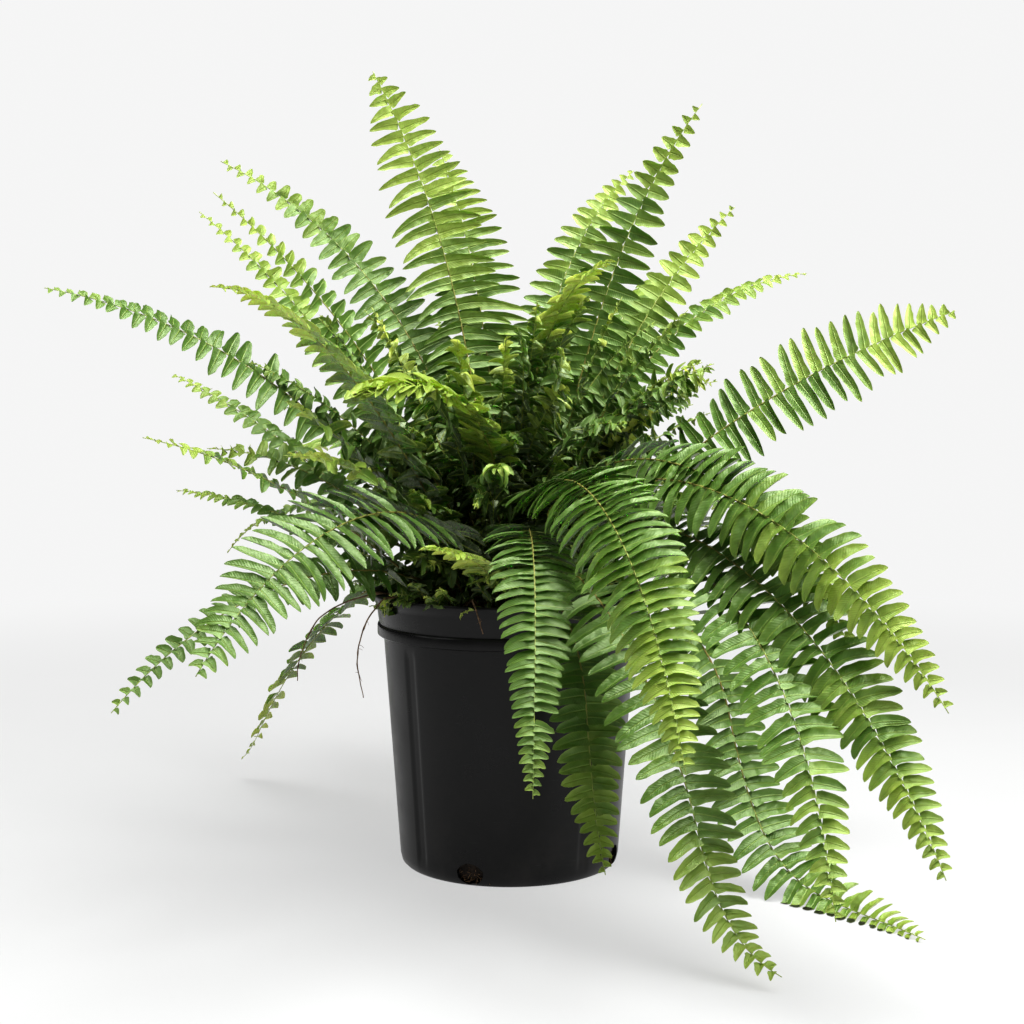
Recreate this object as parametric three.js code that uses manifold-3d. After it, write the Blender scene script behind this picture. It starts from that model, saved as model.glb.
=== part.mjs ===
// A sword fern in a round nursery pot: pot, potting soil, crown, runners and one node for each frond.
// Millimetres, +Z up, origin at the middle of the pot's flat base. The part is looked at along +Y.
import * as THREE from "three";
import { mergeVertices } from "three/addons/utils/BufferGeometryUtils.js";
import Module from "manifold-3d";

const wasm = await Module();
wasm.setup();

// Driving dimensions
const POT = {
  height: 225,
  lipRadius: 114.5,
  rimRadius: 109.5,
  bandRadius: 107.6,
  beadRadius: 108.8,
  neckRadius: 103.4,
  footRadius: 87,
  wall: 2.2,
  floor: 2.4,
  fluteDepth: 1.1,
  fluteWidth: 9,
  drainRadius: 9,
  sides: 36,
};
const FLUTE_AZIMUTH = -140;
const DRAIN_AZIMUTH = -110;
const GAP = 0.35;
const SOIL = { edge: 202, dome: 3, grain: 1 };
const CROWN = { radius: 27, height: 5, sink: 9, sides: 12 };
const STEM = { sunk: 14, width: 2.6, height: 2.0, tipWidth: 1.1, tipHeight: 0.9, socketGap: 0.5 };
const LEAFLET = { pitch: 25, edge: 0.7, clear: 0.5 };
const TABLE_CLEARANCE = 3;

const PLASTIC = { color: 0x232426, roughness: 0.5, metalness: 0 };
const EARTH = { color: 0x2f241b, roughness: 0.95, metalness: 0 };
const SCALY = { color: 0x5a4028, roughness: 0.9, metalness: 0 };
const WIRY = { color: 0x6b4f33, roughness: 0.8, metalness: 0 };
const DEEP_GREEN = new THREE.Color(0x1f4a16);
const FRESH_GREEN = new THREE.Color(0x8cb63c);

// Fronds. heading: where the rib leans to, degrees from +X. length: along the rib, from the soil.
// rise: the rib's slope at the soil. fall: how much of that slope is lost by the tip. bend: over 1 the
// rib turns late, under 1 early. sweep: sideways turn of the heading by the tip. turn: how far the blade
// is twisted about its rib by the tip. reach: longest leaflet. tone: 0 old and dark, 1 young and light.
// seat: the bearing of its root from the pot's axis. seatRadius: the root's distance from that axis.
const FROND_COLUMNS = ["name", "heading", "length", "rise", "fall", "bend", "sweep", "turn", "reach", "tone", "seat",
  "seatRadius"];
const FRONDS = [
  ["frond_top_left_1", 152, 470, 86, 27, 1.52, 2, -63, 40, 0.8, 153, 13],
  ["frond_top_left_2", 124, 405, 89, 30, 1.45, 5, -34, 40, 0.6, 118, 14],
  ["frond_top_left_3", 164, 470, 89, 65, 1.06, -2, -60, 33, 0.25, 172, 22],
  ["frond_top_left_4", 203, 405, 74, 37, 1.1, 1, -65, 30, 0.4, 205, 26],
  ["frond_top_left_5", 171, 410, 68, 30, 1.31, 0, -40, 30, 0.5, 180, 31],
  ["frond_top_left_6", 225, 425, 58, 63, 2.1, 24, -15, 30, 0.7, 226, 26],
  ["frond_left_1", 191, 440, 63, 54, 1.16, 1, -40, 38, 0.35, 190, 36],
  ["frond_left_2", 152, 390, 43, 27, 1.21, -14, -15, 30, 0.4, 154, 45],
  ["frond_left_3", 214, 315, 43, 32, 1.28, 8, -20, 30, 0.45, 203, 50],
  ["frond_left_4", 152, 325, 31, 30, 1.03, -9, -8, 28, 0.4, 150, 57],
  ["frond_left_5", 148, 320, 44, 92, 1.37, -6, -20, 24, 0.5, 136, 42],
  ["frond_low_left_1", 218, 355, 55, 99, 0.58, 4, -50, 30, 0.35, 214, 38],
  ["frond_low_left_2", 247, 435, 63, 112, 0.79, -14, -35, 40, 0.4, 241, 32],
  ["frond_low_left_3", 131, 450, 65, 128, 0.37, 9, -15, 20, 0.2, 128, 30],
  ["frond_middle_1", 267, 370, 74, 91, 1.17, -41, -25, 28, 0.95, 267, 24],
  ["frond_middle_2", 266, 220, 45, 39, 0.6, -27, 0, 20, 0.9, 262, 46],
  ["frond_middle_3", 243, 180, 66, 44, 0.61, 0, -10, 24, 0.6, 252, 30],
  ["frond_middle_4", 224, 270, 56, 34, 1.36, 6, -20, 28, 0.7, 226, 36],
  ["frond_top_right_1", 12, 450, 77, 26, 2.76, -2, 78, 34, 0.4, 30, 15],
  ["frond_top_right_2", 50, 425, 87, 55, 1.7, -4, 41, 32, 0.5, 70, 11],
  ["frond_top_right_3", 25, 400, 75, 36, 1.4, 2, 62, 30, 0.75, 28, 24],
  ["frond_top_right_4", 19, 410, 76, 72, 1.5, 5, 25, 26, 0.45, 8, 22],
  ["frond_top_right_5", 294, 365, 88, 89, 1.77, -1, 20, 32, 0.7, 300, 7],
  ["frond_right_1", 351, 415, 66, 46, 0.58, 0, 62, 40, 0.55, 351, 31],
  ["frond_right_2", 300, 540, 88, 140, 0.56, 13, 62, 40, 0.35, 322, 17],
  ["frond_right_3", 302, 565, 88, 149, 0.47, 3, 50, 40, 0.35, 308, 25],
  ["frond_right_4", 302, 477, 85, 148, 0.77, 11, 55, 36, 0.5, 0, 8],
  ["frond_front_1", 283, 545, 83, 144, 0.64, 1, 34, 42, 0.35, 276, 15],
  ["frond_front_2", 276, 430, 65, 148, 0.89, -11, 0, 30, 0.6, 274, 34],
  ["frond_front_3", 288, 310, 58, 201, 0.78, 2, 0, 34, 0.4, 286, 40],
  ["frond_floor_1", 286, 495, 89, 183, 0.47, 40, 24, 38, 0.35, 289, 26],
  ["frond_floor_2", 303, 520, 60, 135, 0.7, -21, 30, 38, 0.35, 308, 38],
  ["frond_floor_3", 341, 492, 87, 243, 0.48, -45, 40, 38, 0.4, 334, 34],
  ["frond_back_1", 62, 470, 66, 58, 1.3, 6, 0, 36, 0.4, 62, 30],
  ["frond_back_2", 92, 480, 60, 62, 1.2, -4, 0, 36, 0.35, 92, 34],
  ["frond_back_3", 118, 450, 50, 75, 1.1, 8, 0, 36, 0.45, 118, 42],
  ["frond_back_4", 76, 430, 44, 90, 1, -8, 0, 34, 0.3, 76, 47],
  ["frond_back_5", 40, 330, 52, 88, 1, 5, 0, 32, 0.4, 42, 42],
  ["frond_back_6", 104, 400, 38, 70, 1.1, 0, 0, 32, 0.35, 104, 53],
  ["frond_back_right", 14, 300, 44, 92, 0.9, 8, -10, 30, 0.3, 12, 48],
  ["frond_young_1", 250, 190, 80, 40, 1.4, 10, 0, 18, 0.9, 240, 15],
  ["frond_young_2", 335, 210, 76, 50, 1.4, -10, -20, 20, 1, 352, 18],
  ["frond_young_3", 196, 230, 78, 45, 1.3, 8, 20, 20, 0.8, 196, 17],
  ["frond_young_4", 232, 250, 62, 62, 1.3, -12, -15, 26, 0.5, 235, 51],
  ["frond_young_5", 296, 210, 54, 84, 1.1, 10, 5, 26, 0.45, 300, 50],
  ["frond_young_6", 178, 260, 60, 60, 1.2, -8, -20, 26, 0.4, 182, 46],
].map((row) => Object.fromEntries(FROND_COLUMNS.map((column, at) => [column, row[at]])));

// Dry runners that hang over the rim: root on the soil, then points chosen by hand along the way down.
const RUNNER = { radius: 0.8, sides: 4, steps: 14 };
const RUNNERS = {
  runner_1: [[-72, -52, 196], [-80, -58, 222], [-98, -74, 226], [-113, -84, 205], [-118, -86, 180], [-114, -84, 150]],
  runner_2: [[-80, -36, 196], [-92, -40, 224], [-116, -52, 226], [-150, -60, 210], [-166, -62, 178], [-168, -62, 160]],
  runner_3: [[-20, -78, 196], [-24, -90, 222], [-28, -106, 230], [-24, -119, 221], [-20, -122, 206]],
};

const radians = THREE.MathUtils.degToRad;
const smooth = THREE.MathUtils.smoothstep;
const mix = THREE.MathUtils.lerp;

// Solids
function manifoldOf(geometry) {
  const bare = geometry.clone();
  bare.deleteAttribute("normal");
  bare.deleteAttribute("uv");
  const merged = mergeVertices(bare, 1e-3);
  const vertProperties = new Float32Array(merged.attributes.position.array);
  const triVerts = new Uint32Array(merged.index.array);
  return new wasm.Manifold(new wasm.Mesh({ numProp: 3, vertProperties, triVerts }));
}

function geometryOf(solid) {
  const mesh = solid.getMesh();
  const geometry = new THREE.BufferGeometry();
  geometry.setAttribute("position", new THREE.BufferAttribute(new Float32Array(mesh.vertProperties), 3));
  geometry.setIndex(Array.from(mesh.triVerts));
  return geometry;
}

// The largest body of a solid: cuts that run into each other leave loose crumbs.
function withoutCrumbs(solid) {
  const bodies = solid.decompose().sort((one, other) => other.volume() - one.volume());
  return bodies[0];
}

// A closed turned body from [radius, height] points that start and end on the axis.
function turned(outline, sides) {
  const profile = outline.map(([radius, height]) => new THREE.Vector2(radius, height));
  return new THREE.LatheGeometry(profile, sides).rotateX(Math.PI / 2);
}

function around(azimuth, radius, height) {
  const angle = radians(azimuth);
  return new THREE.Vector3(radius * Math.cos(angle), radius * Math.sin(angle), height);
}

// A round bar between two points.
function bar(from, to, radius, sides) {
  const along = to.clone().sub(from);
  const turn = new THREE.Quaternion().setFromUnitVectors(new THREE.Vector3(0, 1, 0), along.clone().normalize());
  const geometry = new THREE.CylinderGeometry(radius, radius, along.length(), sides);
  geometry.applyQuaternion(turn);
  geometry.translate((from.x + to.x) / 2, (from.y + to.y) / 2, (from.z + to.z) / 2);
  return manifoldOf(geometry);
}

// Pot: a thin moulded shell, outlined from the outer foot up to the lip and down the inside.
const WALL_TOP = POT.height - 36;
const LIP_FOOT = POT.height - 9;
const INNER_FOOT = POT.footRadius + 3 - POT.wall;
const INNER_NECK = POT.neckRadius - POT.wall;
const INNER_BAND = POT.bandRadius - POT.wall - 1.5;

function potOutline() {
  const { height, floor, wall } = POT;
  return [
    [0, 0],
    [POT.footRadius, 0],
    [POT.footRadius + 3.5, 7],
    [POT.neckRadius, WALL_TOP],
    [POT.beadRadius, WALL_TOP + 1.5],
    [POT.beadRadius, WALL_TOP + 9.5],
    [POT.bandRadius, WALL_TOP + 12],
    [POT.rimRadius, LIP_FOOT],
    [POT.lipRadius, height],
    [POT.lipRadius - wall, height],
    [INNER_BAND + 1.5, LIP_FOOT],
    [INNER_BAND, WALL_TOP + 2],
    [INNER_NECK, WALL_TOP - 1],
    [INNER_FOOT, floor + 6],
    [INNER_FOOT - 4, floor],
    [0, floor],
  ];
}

function pot() {
  let shell = manifoldOf(turned(potOutline(), POT.sides));
  for (let quarter = 0; quarter < 4; quarter += 1) {
    const flute = FLUTE_AZIMUTH + 90 * quarter;
    const drain = DRAIN_AZIMUTH + 90 * quarter;
    const fluteRadius = POT.fluteWidth * 1.3;
    const outward = fluteRadius - POT.fluteDepth;
    const fluteFoot = around(flute, POT.footRadius + 3.5 + outward, 6);
    const fluteHead = around(flute, POT.neckRadius + outward, WALL_TOP - 6);
    shell = shell.subtract(bar(fluteFoot, fluteHead, fluteRadius, 8));
    const drainIn = around(drain, POT.footRadius - 14, 7);
    const drainOut = around(drain, POT.footRadius + 14, 10);
    shell = shell.subtract(bar(drainIn, drainOut, POT.drainRadius, 8));
  }
  return shell;
}

// Soil: fills the pot with a domed top. The crown sits in a dish at its middle.
function soilHeight(x, y) {
  const share = Math.min(1, Math.hypot(x, y) / INNER_BAND);
  const grain = SOIL.grain * Math.sin(x * 0.21 + 1) * Math.cos(y * 0.17 + 2);
  return SOIL.edge + SOIL.dome * (1 - share * share) + grain;
}

function soil() {
  const top = [0.96, 0.55].map((share) => [INNER_BAND * share, SOIL.edge]);
  const geometry = turned([
    [0, POT.floor + GAP],
    [INNER_FOOT - 4 - GAP, POT.floor + GAP],
    [INNER_FOOT - GAP, POT.floor + 6],
    [INNER_NECK - GAP, WALL_TOP - 1.5],
    [INNER_BAND - GAP, WALL_TOP + 2.5],
    [INNER_BAND - GAP, SOIL.edge - 2],
    ...top,
    [0, SOIL.edge],
  ], POT.sides);
  const place = geometry.attributes.position;
  for (let at = 0; at < place.count; at += 1) {
    if (place.getZ(at) === SOIL.edge) place.setZ(at, soilHeight(place.getX(at), place.getY(at)));
  }
  return manifoldOf(geometry);
}

// Crown: the knotty rootstock that the fronds rise from, set in the soil.
const GROUND = SOIL.edge + SOIL.dome;
const CROWN_TOP = GROUND + CROWN.height;

function crownBody(swell) {
  const base = GROUND - CROWN.sink - swell;
  const geometry = turned([
    [0, base],
    [CROWN.radius * 0.75 + swell, base],
    [CROWN.radius + swell, GROUND - 1],
    [CROWN.radius * 0.85 + swell, GROUND + 2.5],
    [CROWN.radius * 0.45 + swell, CROWN_TOP - 1],
    [0, CROWN_TOP + swell],
  ], CROWN.sides);
  const place = geometry.attributes.position;
  for (let at = 0; at < place.count; at += 1) {
    const angle = Math.atan2(place.getY(at), place.getX(at));
    const knot = 1 + 0.07 * Math.sin(5 * angle) + 0.05 * Math.cos(3 * angle + 1);
    place.setXY(at, place.getX(at) * knot, place.getY(at) * knot);
  }
  return manifoldOf(geometry);
}

// Frond ribs. Each starts on the soil: upright ones near the middle, leaning ones further out.
const RIB_STEPS = 48;

function rootOf(frond) {
  const root = around(frond.seat, frond.seatRadius, 0);
  root.z = frond.seatRadius < CROWN.radius ? CROWN_TOP - 4 : soilHeight(root.x, root.y);
  return root;
}

// The rib's points with its own axes: along, side and face (the blade's upper side).
function ribOf(frond) {
  const step = frond.length / RIB_STEPS;
  const point = rootOf(frond);
  const places = [];
  for (let at = 0; at <= RIB_STEPS; at += 1) {
    const share = at / RIB_STEPS;
    const heading = radians(frond.heading + frond.sweep * share ** 1.5);
    const wanted = radians(frond.rise - frond.fall * share ** frond.bend);
    const slope = Math.max(wanted, -Math.atan2(point.z - TABLE_CLEARANCE, 30));
    const along = new THREE.Vector3(
      Math.cos(slope) * Math.cos(heading),
      Math.cos(slope) * Math.sin(heading),
      Math.sin(slope),
    );
    const level = new THREE.Vector3(-Math.sin(heading), Math.cos(heading), 0);
    const up = along.clone().cross(level);
    const turn = radians(frond.turn) * (1 - (1 - share) ** 2);
    const side = level.clone().multiplyScalar(Math.cos(turn)).addScaledVector(up, Math.sin(turn));
    const face = along.clone().cross(side);
    places.push({ share, point: point.clone(), along, side, face });
    point.addScaledVector(along, step);
  }
  return places;
}

function blend(low, high, part) {
  const axis = (name) => low[name].clone().lerp(high[name], part);
  return {
    share: mix(low.share, high.share, part),
    point: axis("point"),
    along: axis("along").normalize(),
    side: axis("side").normalize(),
    face: axis("face").normalize(),
  };
}

function placeAt(rib, share) {
  const at = THREE.MathUtils.clamp(share, 0, 1) * RIB_STEPS;
  const low = Math.min(RIB_STEPS - 1, Math.floor(at));
  return blend(rib[low], rib[low + 1], at - low);
}

// Longest near the lower third, dwindling to the tip.
const BARE_SHARE = 0.14;

function reachAt(frond, share) {
  const blade = THREE.MathUtils.clamp((share - BARE_SHARE) / (1 - BARE_SHARE), 0, 1);
  const swell = 0.5 + 0.5 * smooth(blade, 0, 0.3);
  const dwindle = (1 - blade ** 2.6) * 0.9 + 0.1;
  return frond.reach * swell * dwindle;
}

// Stations along the rib: a few on the bare stem, then one for each pair of leaflets.
function stationsOf(frond, rib) {
  const shares = [0, BARE_SHARE / 2, BARE_SHARE];
  let share = BARE_SHARE;
  while (share < 1) {
    const pitch = LEAFLET.pitch * mix(0.5, 1, reachAt(frond, share) / frond.reach);
    share += pitch / frond.length;
    if (1 - share > 0.4 * pitch / frond.length) shares.push(share);
  }
  shares.push(1);
  return shares.map((each) => placeAt(rib, each));
}

// Clearance: thin triangles and rib pieces already placed, kept in a grid of cells.
const CELL = 26;
const LEAF_PAD = 0.9;
const RIB_PAD = 1.6;
const placed = new Map();

function cellsOf(corners, margin) {
  const box = new THREE.Box3().setFromPoints(corners).expandByScalar(margin);
  const low = box.min.divideScalar(CELL).floor();
  const high = box.max.divideScalar(CELL).floor();
  const keys = [];
  for (let i = low.x; i <= high.x; i += 1) {
    for (let j = low.y; j <= high.y; j += 1) {
      for (let k = low.z; k <= high.z; k += 1) keys.push(`${i},${j},${k}`);
    }
  }
  return keys;
}

function remember(owner, corners, pad) {
  const piece = { owner, corners, pad };
  for (const key of cellsOf(corners, pad)) {
    if (!placed.has(key)) placed.set(key, []);
    placed.get(key).push(piece);
  }
}

function segmentGap(a, b, c, d) {
  const first = b.clone().sub(a);
  const second = d.clone().sub(c);
  const between = a.clone().sub(c);
  const firstSquare = Math.max(first.lengthSq(), 1e-9);
  const secondSquare = Math.max(second.lengthSq(), 1e-9);
  const both = first.dot(second);
  const spread = firstSquare * secondSquare - both * both;
  const toFirst = first.dot(between);
  const toSecond = second.dot(between);
  const clamp = THREE.MathUtils.clamp;
  let s = spread > 1e-9 ? clamp((both * toSecond - toFirst * secondSquare) / spread, 0, 1) : 0;
  const t = clamp((both * s + toSecond) / secondSquare, 0, 1);
  s = clamp((both * t - toFirst) / firstSquare, 0, 1);
  return between.addScaledVector(first, s).addScaledVector(second, -t).length();
}

function pierces(from, to, corners) {
  const ray = new THREE.Ray(from, to.clone().sub(from).normalize());
  const hit = ray.intersectTriangle(...corners, false, new THREE.Vector3());
  return hit !== null && hit.distanceTo(from) <= from.distanceTo(to);
}

function edgesOf(corners) {
  if (corners.length === 2) return [[corners[0], corners[1]]];
  return corners.map((corner, at) => [corner, corners[(at + 1) % corners.length]]);
}

function faceGap(corners, points) {
  if (corners.length < 3) return Infinity;
  const triangle = new THREE.Triangle(...corners);
  const nearest = new THREE.Vector3();
  return Math.min(...points.map((point) => triangle.closestPointToPoint(point, nearest).distanceTo(point)));
}

function tooClose(one, other, limit) {
  for (const [a, b] of edgesOf(one)) {
    for (const [c, d] of edgesOf(other)) {
      if (segmentGap(a, b, c, d) < limit) return true;
    }
  }
  if (faceGap(one, other) < limit || faceGap(other, one) < limit) return true;
  if (one.length === 3 && edgesOf(other).some(([a, b]) => pierces(a, b, one))) return true;
  return other.length === 3 && edgesOf(one).some(([a, b]) => pierces(a, b, other));
}

function blocked(owner, corners, pad) {
  const seen = new Set();
  for (const key of cellsOf(corners, pad + RIB_PAD)) {
    for (const piece of placed.get(key) ?? []) {
      if (piece.owner === owner || seen.has(piece)) continue;
      seen.add(piece);
      if (tooClose(corners, piece.corners, pad + piece.pad + LEAFLET.clear)) return true;
    }
  }
  return false;
}

// True where a point would touch the pot, the soil, the crown or the surface that the pot stands on.
function insidePot(point) {
  const margin = 1.6;
  const radius = Math.hypot(point.x, point.y);
  if (point.z < 0.8) return true;
  if (point.z > POT.height + margin) return false;
  if (radius < CROWN.radius + 3 && point.z < CROWN_TOP + margin) return true;
  if (radius < INNER_BAND - margin) return point.z < soilHeight(point.x, point.y) + margin;
  if (point.z > WALL_TOP) return radius < POT.lipRadius + margin;
  return radius < mix(POT.footRadius + 3, POT.neckRadius, point.z / WALL_TOP) + margin;
}

function meetsPot(corners) {
  const samples = 8;
  const point = new THREE.Vector3();
  for (let i = 0; i <= samples; i += 1) {
    for (let j = 0; j <= samples; j += 1) {
      const low = corners[0].clone().lerp(corners[1], i / samples);
      const high = corners[corners.length - 1].clone().lerp(corners[2], i / samples);
      if (insidePot(point.copy(low).lerp(high, j / samples))) return true;
    }
  }
  return false;
}

// Leaflets. A leaflet that would touch something already placed is bent up or down, then shortened, and
// left out where nothing fits.
const DROOP = -6;
const LIFTS = [0, 14, -14, 28, -28];
const LENGTHS = [1, 0.75, 0.5];
const ATTEMPTS = LENGTHS.flatMap((shorter) => LIFTS.map((lift) => ({ lift, shorter })));

// The leaflet between two stations: its tip, and the way that its upper side faces.
function leafletOf(frond, low, high, hand, attempt) {
  const middle = blend(low, high, 0.5);
  const reach = reachAt(frond, middle.share) * attempt.shorter;
  const lean = radians(mix(10, 38, smooth(middle.share, 0.75, 1)));
  const lift = radians(DROOP + attempt.lift);
  const outward = middle.side.clone().multiplyScalar(hand * Math.cos(lift) * Math.cos(lean));
  outward.addScaledVector(middle.along, Math.sin(lean)).addScaledVector(middle.face, Math.sin(lift));
  const tip = middle.point.clone().addScaledVector(outward, reach);
  const face = middle.along.clone().cross(outward).multiplyScalar(hand).normalize();
  return { tip, face };
}

function settledLeaflet(frond, low, high, hand) {
  for (const attempt of ATTEMPTS) {
    const leaflet = leafletOf(frond, low, high, hand, attempt);
    const corners = [low.point, high.point, leaflet.tip];
    if (blocked(frond.name, corners, LEAF_PAD) || meetsPot(corners)) continue;
    remember(frond.name, corners, LEAF_PAD);
    return leaflet;
  }
  return null;
}

// Frond: one closed surface. Four corners round the rib at each station, and plates that grow from its sides.
class Surface {
  constructor() {
    this.positions = [];
    this.triangles = [];
  }

  point(place) {
    this.positions.push(place.x, place.y, place.z);
    return this.positions.length / 3 - 1;
  }

  quad(a, b, c, d) {
    this.triangles.push(a, b, c, a, c, d);
  }

  // A plate from its upper and lower outline. The first edge is the one that it grows from.
  plate(upper, lower) {
    for (let at = 1; at + 1 < upper.length; at += 1) {
      this.triangles.push(upper[0], upper[at], upper[at + 1]);
      this.triangles.push(lower[0], lower[at + 1], lower[at]);
    }
    for (let at = 1; at < upper.length; at += 1) {
      const next = (at + 1) % upper.length;
      this.quad(lower[at], lower[next], upper[next], upper[at]);
    }
  }

  geometry() {
    const geometry = new THREE.BufferGeometry();
    geometry.setAttribute("position", new THREE.Float32BufferAttribute(this.positions, 3));
    geometry.setIndex(this.triangles);
    return geometry;
  }
}

function ribCorners(surface, place) {
  const width = mix(STEM.width, STEM.tipWidth, place.share) / 2;
  const height = mix(STEM.height, STEM.tipHeight, place.share) / 2;
  const corner = (across, over) => {
    const at = place.point.clone().addScaledVector(place.side, across * width);
    return surface.point(at.addScaledVector(place.face, over * height));
  };
  return { leftTop: corner(1, 1), leftLow: corner(1, -1), rightTop: corner(-1, 1), rightLow: corner(-1, -1) };
}

function addLeaflet(surface, leaflet, hand, low, high) {
  const offset = leaflet.face.clone().multiplyScalar(LEAFLET.edge / 2);
  const upperTip = surface.point(leaflet.tip.clone().add(offset));
  const lowerTip = surface.point(leaflet.tip.clone().sub(offset));
  if (hand > 0) surface.plate([low.leftTop, high.leftTop, upperTip], [low.leftLow, high.leftLow, lowerTip]);
  else surface.plate([high.rightTop, low.rightTop, upperTip], [high.rightLow, low.rightLow, lowerTip]);
}

// A place on the stem's own line below or above its root.
function onStem(stations, distance) {
  const [root, next] = stations;
  const growing = next.point.clone().sub(root.point).normalize();
  return { ...root, point: root.point.clone().addScaledVector(growing, distance) };
}

function frondSurface(frond, stations) {
  const surface = new Surface();
  const places = [onStem(stations, -STEM.sunk), ...stations];
  const corners = places.map((place) => ribCorners(surface, place));
  corners.slice(1).forEach((high, at) => {
    const low = corners[at];
    surface.quad(low.rightTop, high.rightTop, high.leftTop, low.leftTop);
    surface.quad(low.leftLow, high.leftLow, high.rightLow, low.rightLow);
    const leafy = places[at].share >= BARE_SHARE;
    const left = leafy ? settledLeaflet(frond, places[at], places[at + 1], 1) : null;
    const right = leafy ? settledLeaflet(frond, places[at], places[at + 1], -1) : null;
    if (left) addLeaflet(surface, left, 1, low, high);
    else surface.quad(low.leftTop, high.leftTop, high.leftLow, low.leftLow);
    if (right) addLeaflet(surface, right, -1, low, high);
    else surface.quad(low.rightLow, high.rightLow, high.rightTop, low.rightTop);
  });
  const first = corners[0];
  const last = corners[corners.length - 1];
  surface.quad(first.leftTop, first.leftLow, first.rightLow, first.rightTop);
  surface.quad(last.rightTop, last.rightLow, last.leftLow, last.leftTop);
  return surface.geometry();
}

// The hole that a stem stands in: its own square section with a gap all round.
function socketOf(stations) {
  const surface = new Surface();
  const ring = ({ point, side, face }) => {
    const corner = (across, over) => {
      const at = point.clone().addScaledVector(side, across * (STEM.width / 2 + STEM.socketGap));
      return surface.point(at.addScaledVector(face, over * (STEM.height / 2 + STEM.socketGap)));
    };
    return [corner(1, 1), corner(-1, 1), corner(-1, -1), corner(1, -1)];
  };
  const from = onStem(stations, -STEM.sunk - GAP);
  const to = onStem(stations, STEM.sunk);
  const low = ring(from);
  const high = ring(to);
  low.forEach((corner, at) => {
    const next = (at + 1) % low.length;
    surface.quad(corner, low[next], high[next], high[at]);
  });
  surface.quad(low[3], low[2], low[1], low[0]);
  surface.quad(high[0], high[1], high[2], high[3]);
  return surface.geometry();
}

// Runner: a thin four-sided thread along a smooth curve.
function runnerGeometry(route, radius) {
  const curve = new THREE.CatmullRomCurve3(route.map((place) => new THREE.Vector3(...place)));
  const { sides, steps } = RUNNER;
  const angles = Array.from({ length: sides }, (unused, at) => (at * 2 * Math.PI) / sides);
  const section = new THREE.Shape(angles.map((angle) => {
    return new THREE.Vector2(radius * Math.cos(angle), radius * Math.sin(angle));
  }));
  return new THREE.ExtrudeGeometry(section, { steps, extrudePath: curve, bevelEnabled: false });
}

// The whole plant
function material(look) {
  return new THREE.MeshStandardMaterial(look);
}

const group = new THREE.Group();

function add(name, geometry, look) {
  const mesh = new THREE.Mesh(geometry, material(look));
  mesh.name = name;
  group.add(mesh);
}

const stations = new Map(FRONDS.map((frond) => [frond.name, stationsOf(frond, ribOf(frond))]));

for (const [name, places] of stations) {
  places.slice(1).forEach((place, at) => remember(name, [places[at].point, place.point], RIB_PAD));
}
for (const [name, route] of Object.entries(RUNNERS)) {
  const curve = new THREE.CatmullRomCurve3(route.map((place) => new THREE.Vector3(...place)));
  const points = curve.getSpacedPoints(RUNNER.steps);
  points.slice(1).forEach((place, at) => remember(name, [points[at], place], RUNNER.radius));
}

add("pot", geometryOf(pot()), PLASTIC);

let soilBody = soil().subtract(crownBody(GAP));
let crown = crownBody(0);
for (const places of stations.values()) {
  const socket = manifoldOf(socketOf(places));
  soilBody = soilBody.subtract(socket);
  crown = crown.subtract(socket);
}
for (const route of Object.values(RUNNERS)) {
  const [from, to] = route.map((place) => new THREE.Vector3(...place));
  const below = from.clone().addScaledVector(to.clone().sub(from).normalize(), -1);
  soilBody = soilBody.subtract(bar(below, from, RUNNER.radius + GAP, 6));
  soilBody = soilBody.subtract(manifoldOf(runnerGeometry(route, RUNNER.radius + GAP)));
}
add("soil", geometryOf(withoutCrumbs(soilBody)), EARTH);
add("crown", geometryOf(withoutCrumbs(crown)), SCALY);

for (const [name, route] of Object.entries(RUNNERS)) add(name, runnerGeometry(route, RUNNER.radius), WIRY);

for (const frond of FRONDS) {
  const color = DEEP_GREEN.clone().lerp(FRESH_GREEN, frond.tone);
  add(frond.name, frondSurface(frond, stations.get(frond.name)), { color, roughness: 0.55, metalness: 0 });
}

export default group;
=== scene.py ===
"""A sword fern in a black nursery pot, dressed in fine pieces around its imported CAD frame."""

import math
import random

import bmesh
import bpy
from mathutils import Matrix, Vector, noise


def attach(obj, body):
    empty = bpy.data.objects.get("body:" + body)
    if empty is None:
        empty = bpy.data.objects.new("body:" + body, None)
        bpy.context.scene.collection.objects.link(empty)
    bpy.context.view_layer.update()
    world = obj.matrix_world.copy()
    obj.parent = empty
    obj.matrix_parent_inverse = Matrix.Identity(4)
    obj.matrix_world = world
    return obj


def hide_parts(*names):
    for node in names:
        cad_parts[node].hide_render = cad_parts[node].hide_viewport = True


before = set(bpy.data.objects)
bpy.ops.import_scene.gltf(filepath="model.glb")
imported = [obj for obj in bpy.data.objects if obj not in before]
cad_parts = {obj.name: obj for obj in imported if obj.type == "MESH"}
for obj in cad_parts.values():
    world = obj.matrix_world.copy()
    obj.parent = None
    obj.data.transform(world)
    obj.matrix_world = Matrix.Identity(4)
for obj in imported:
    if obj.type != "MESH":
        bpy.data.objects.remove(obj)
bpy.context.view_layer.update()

bl_info = {
    "name": "Potted fern",
    "version": (1, 0, 0),
    "blender": (4, 5, 0),
    "location": "View3D > Sidebar > Fern",
    "description": "Builds a sword fern in a nursery pot, with its fronds, soil, runners and stage",
    "category": "Object",
}

MM = 0.001
FULL_TURN = 2 * math.pi

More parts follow.
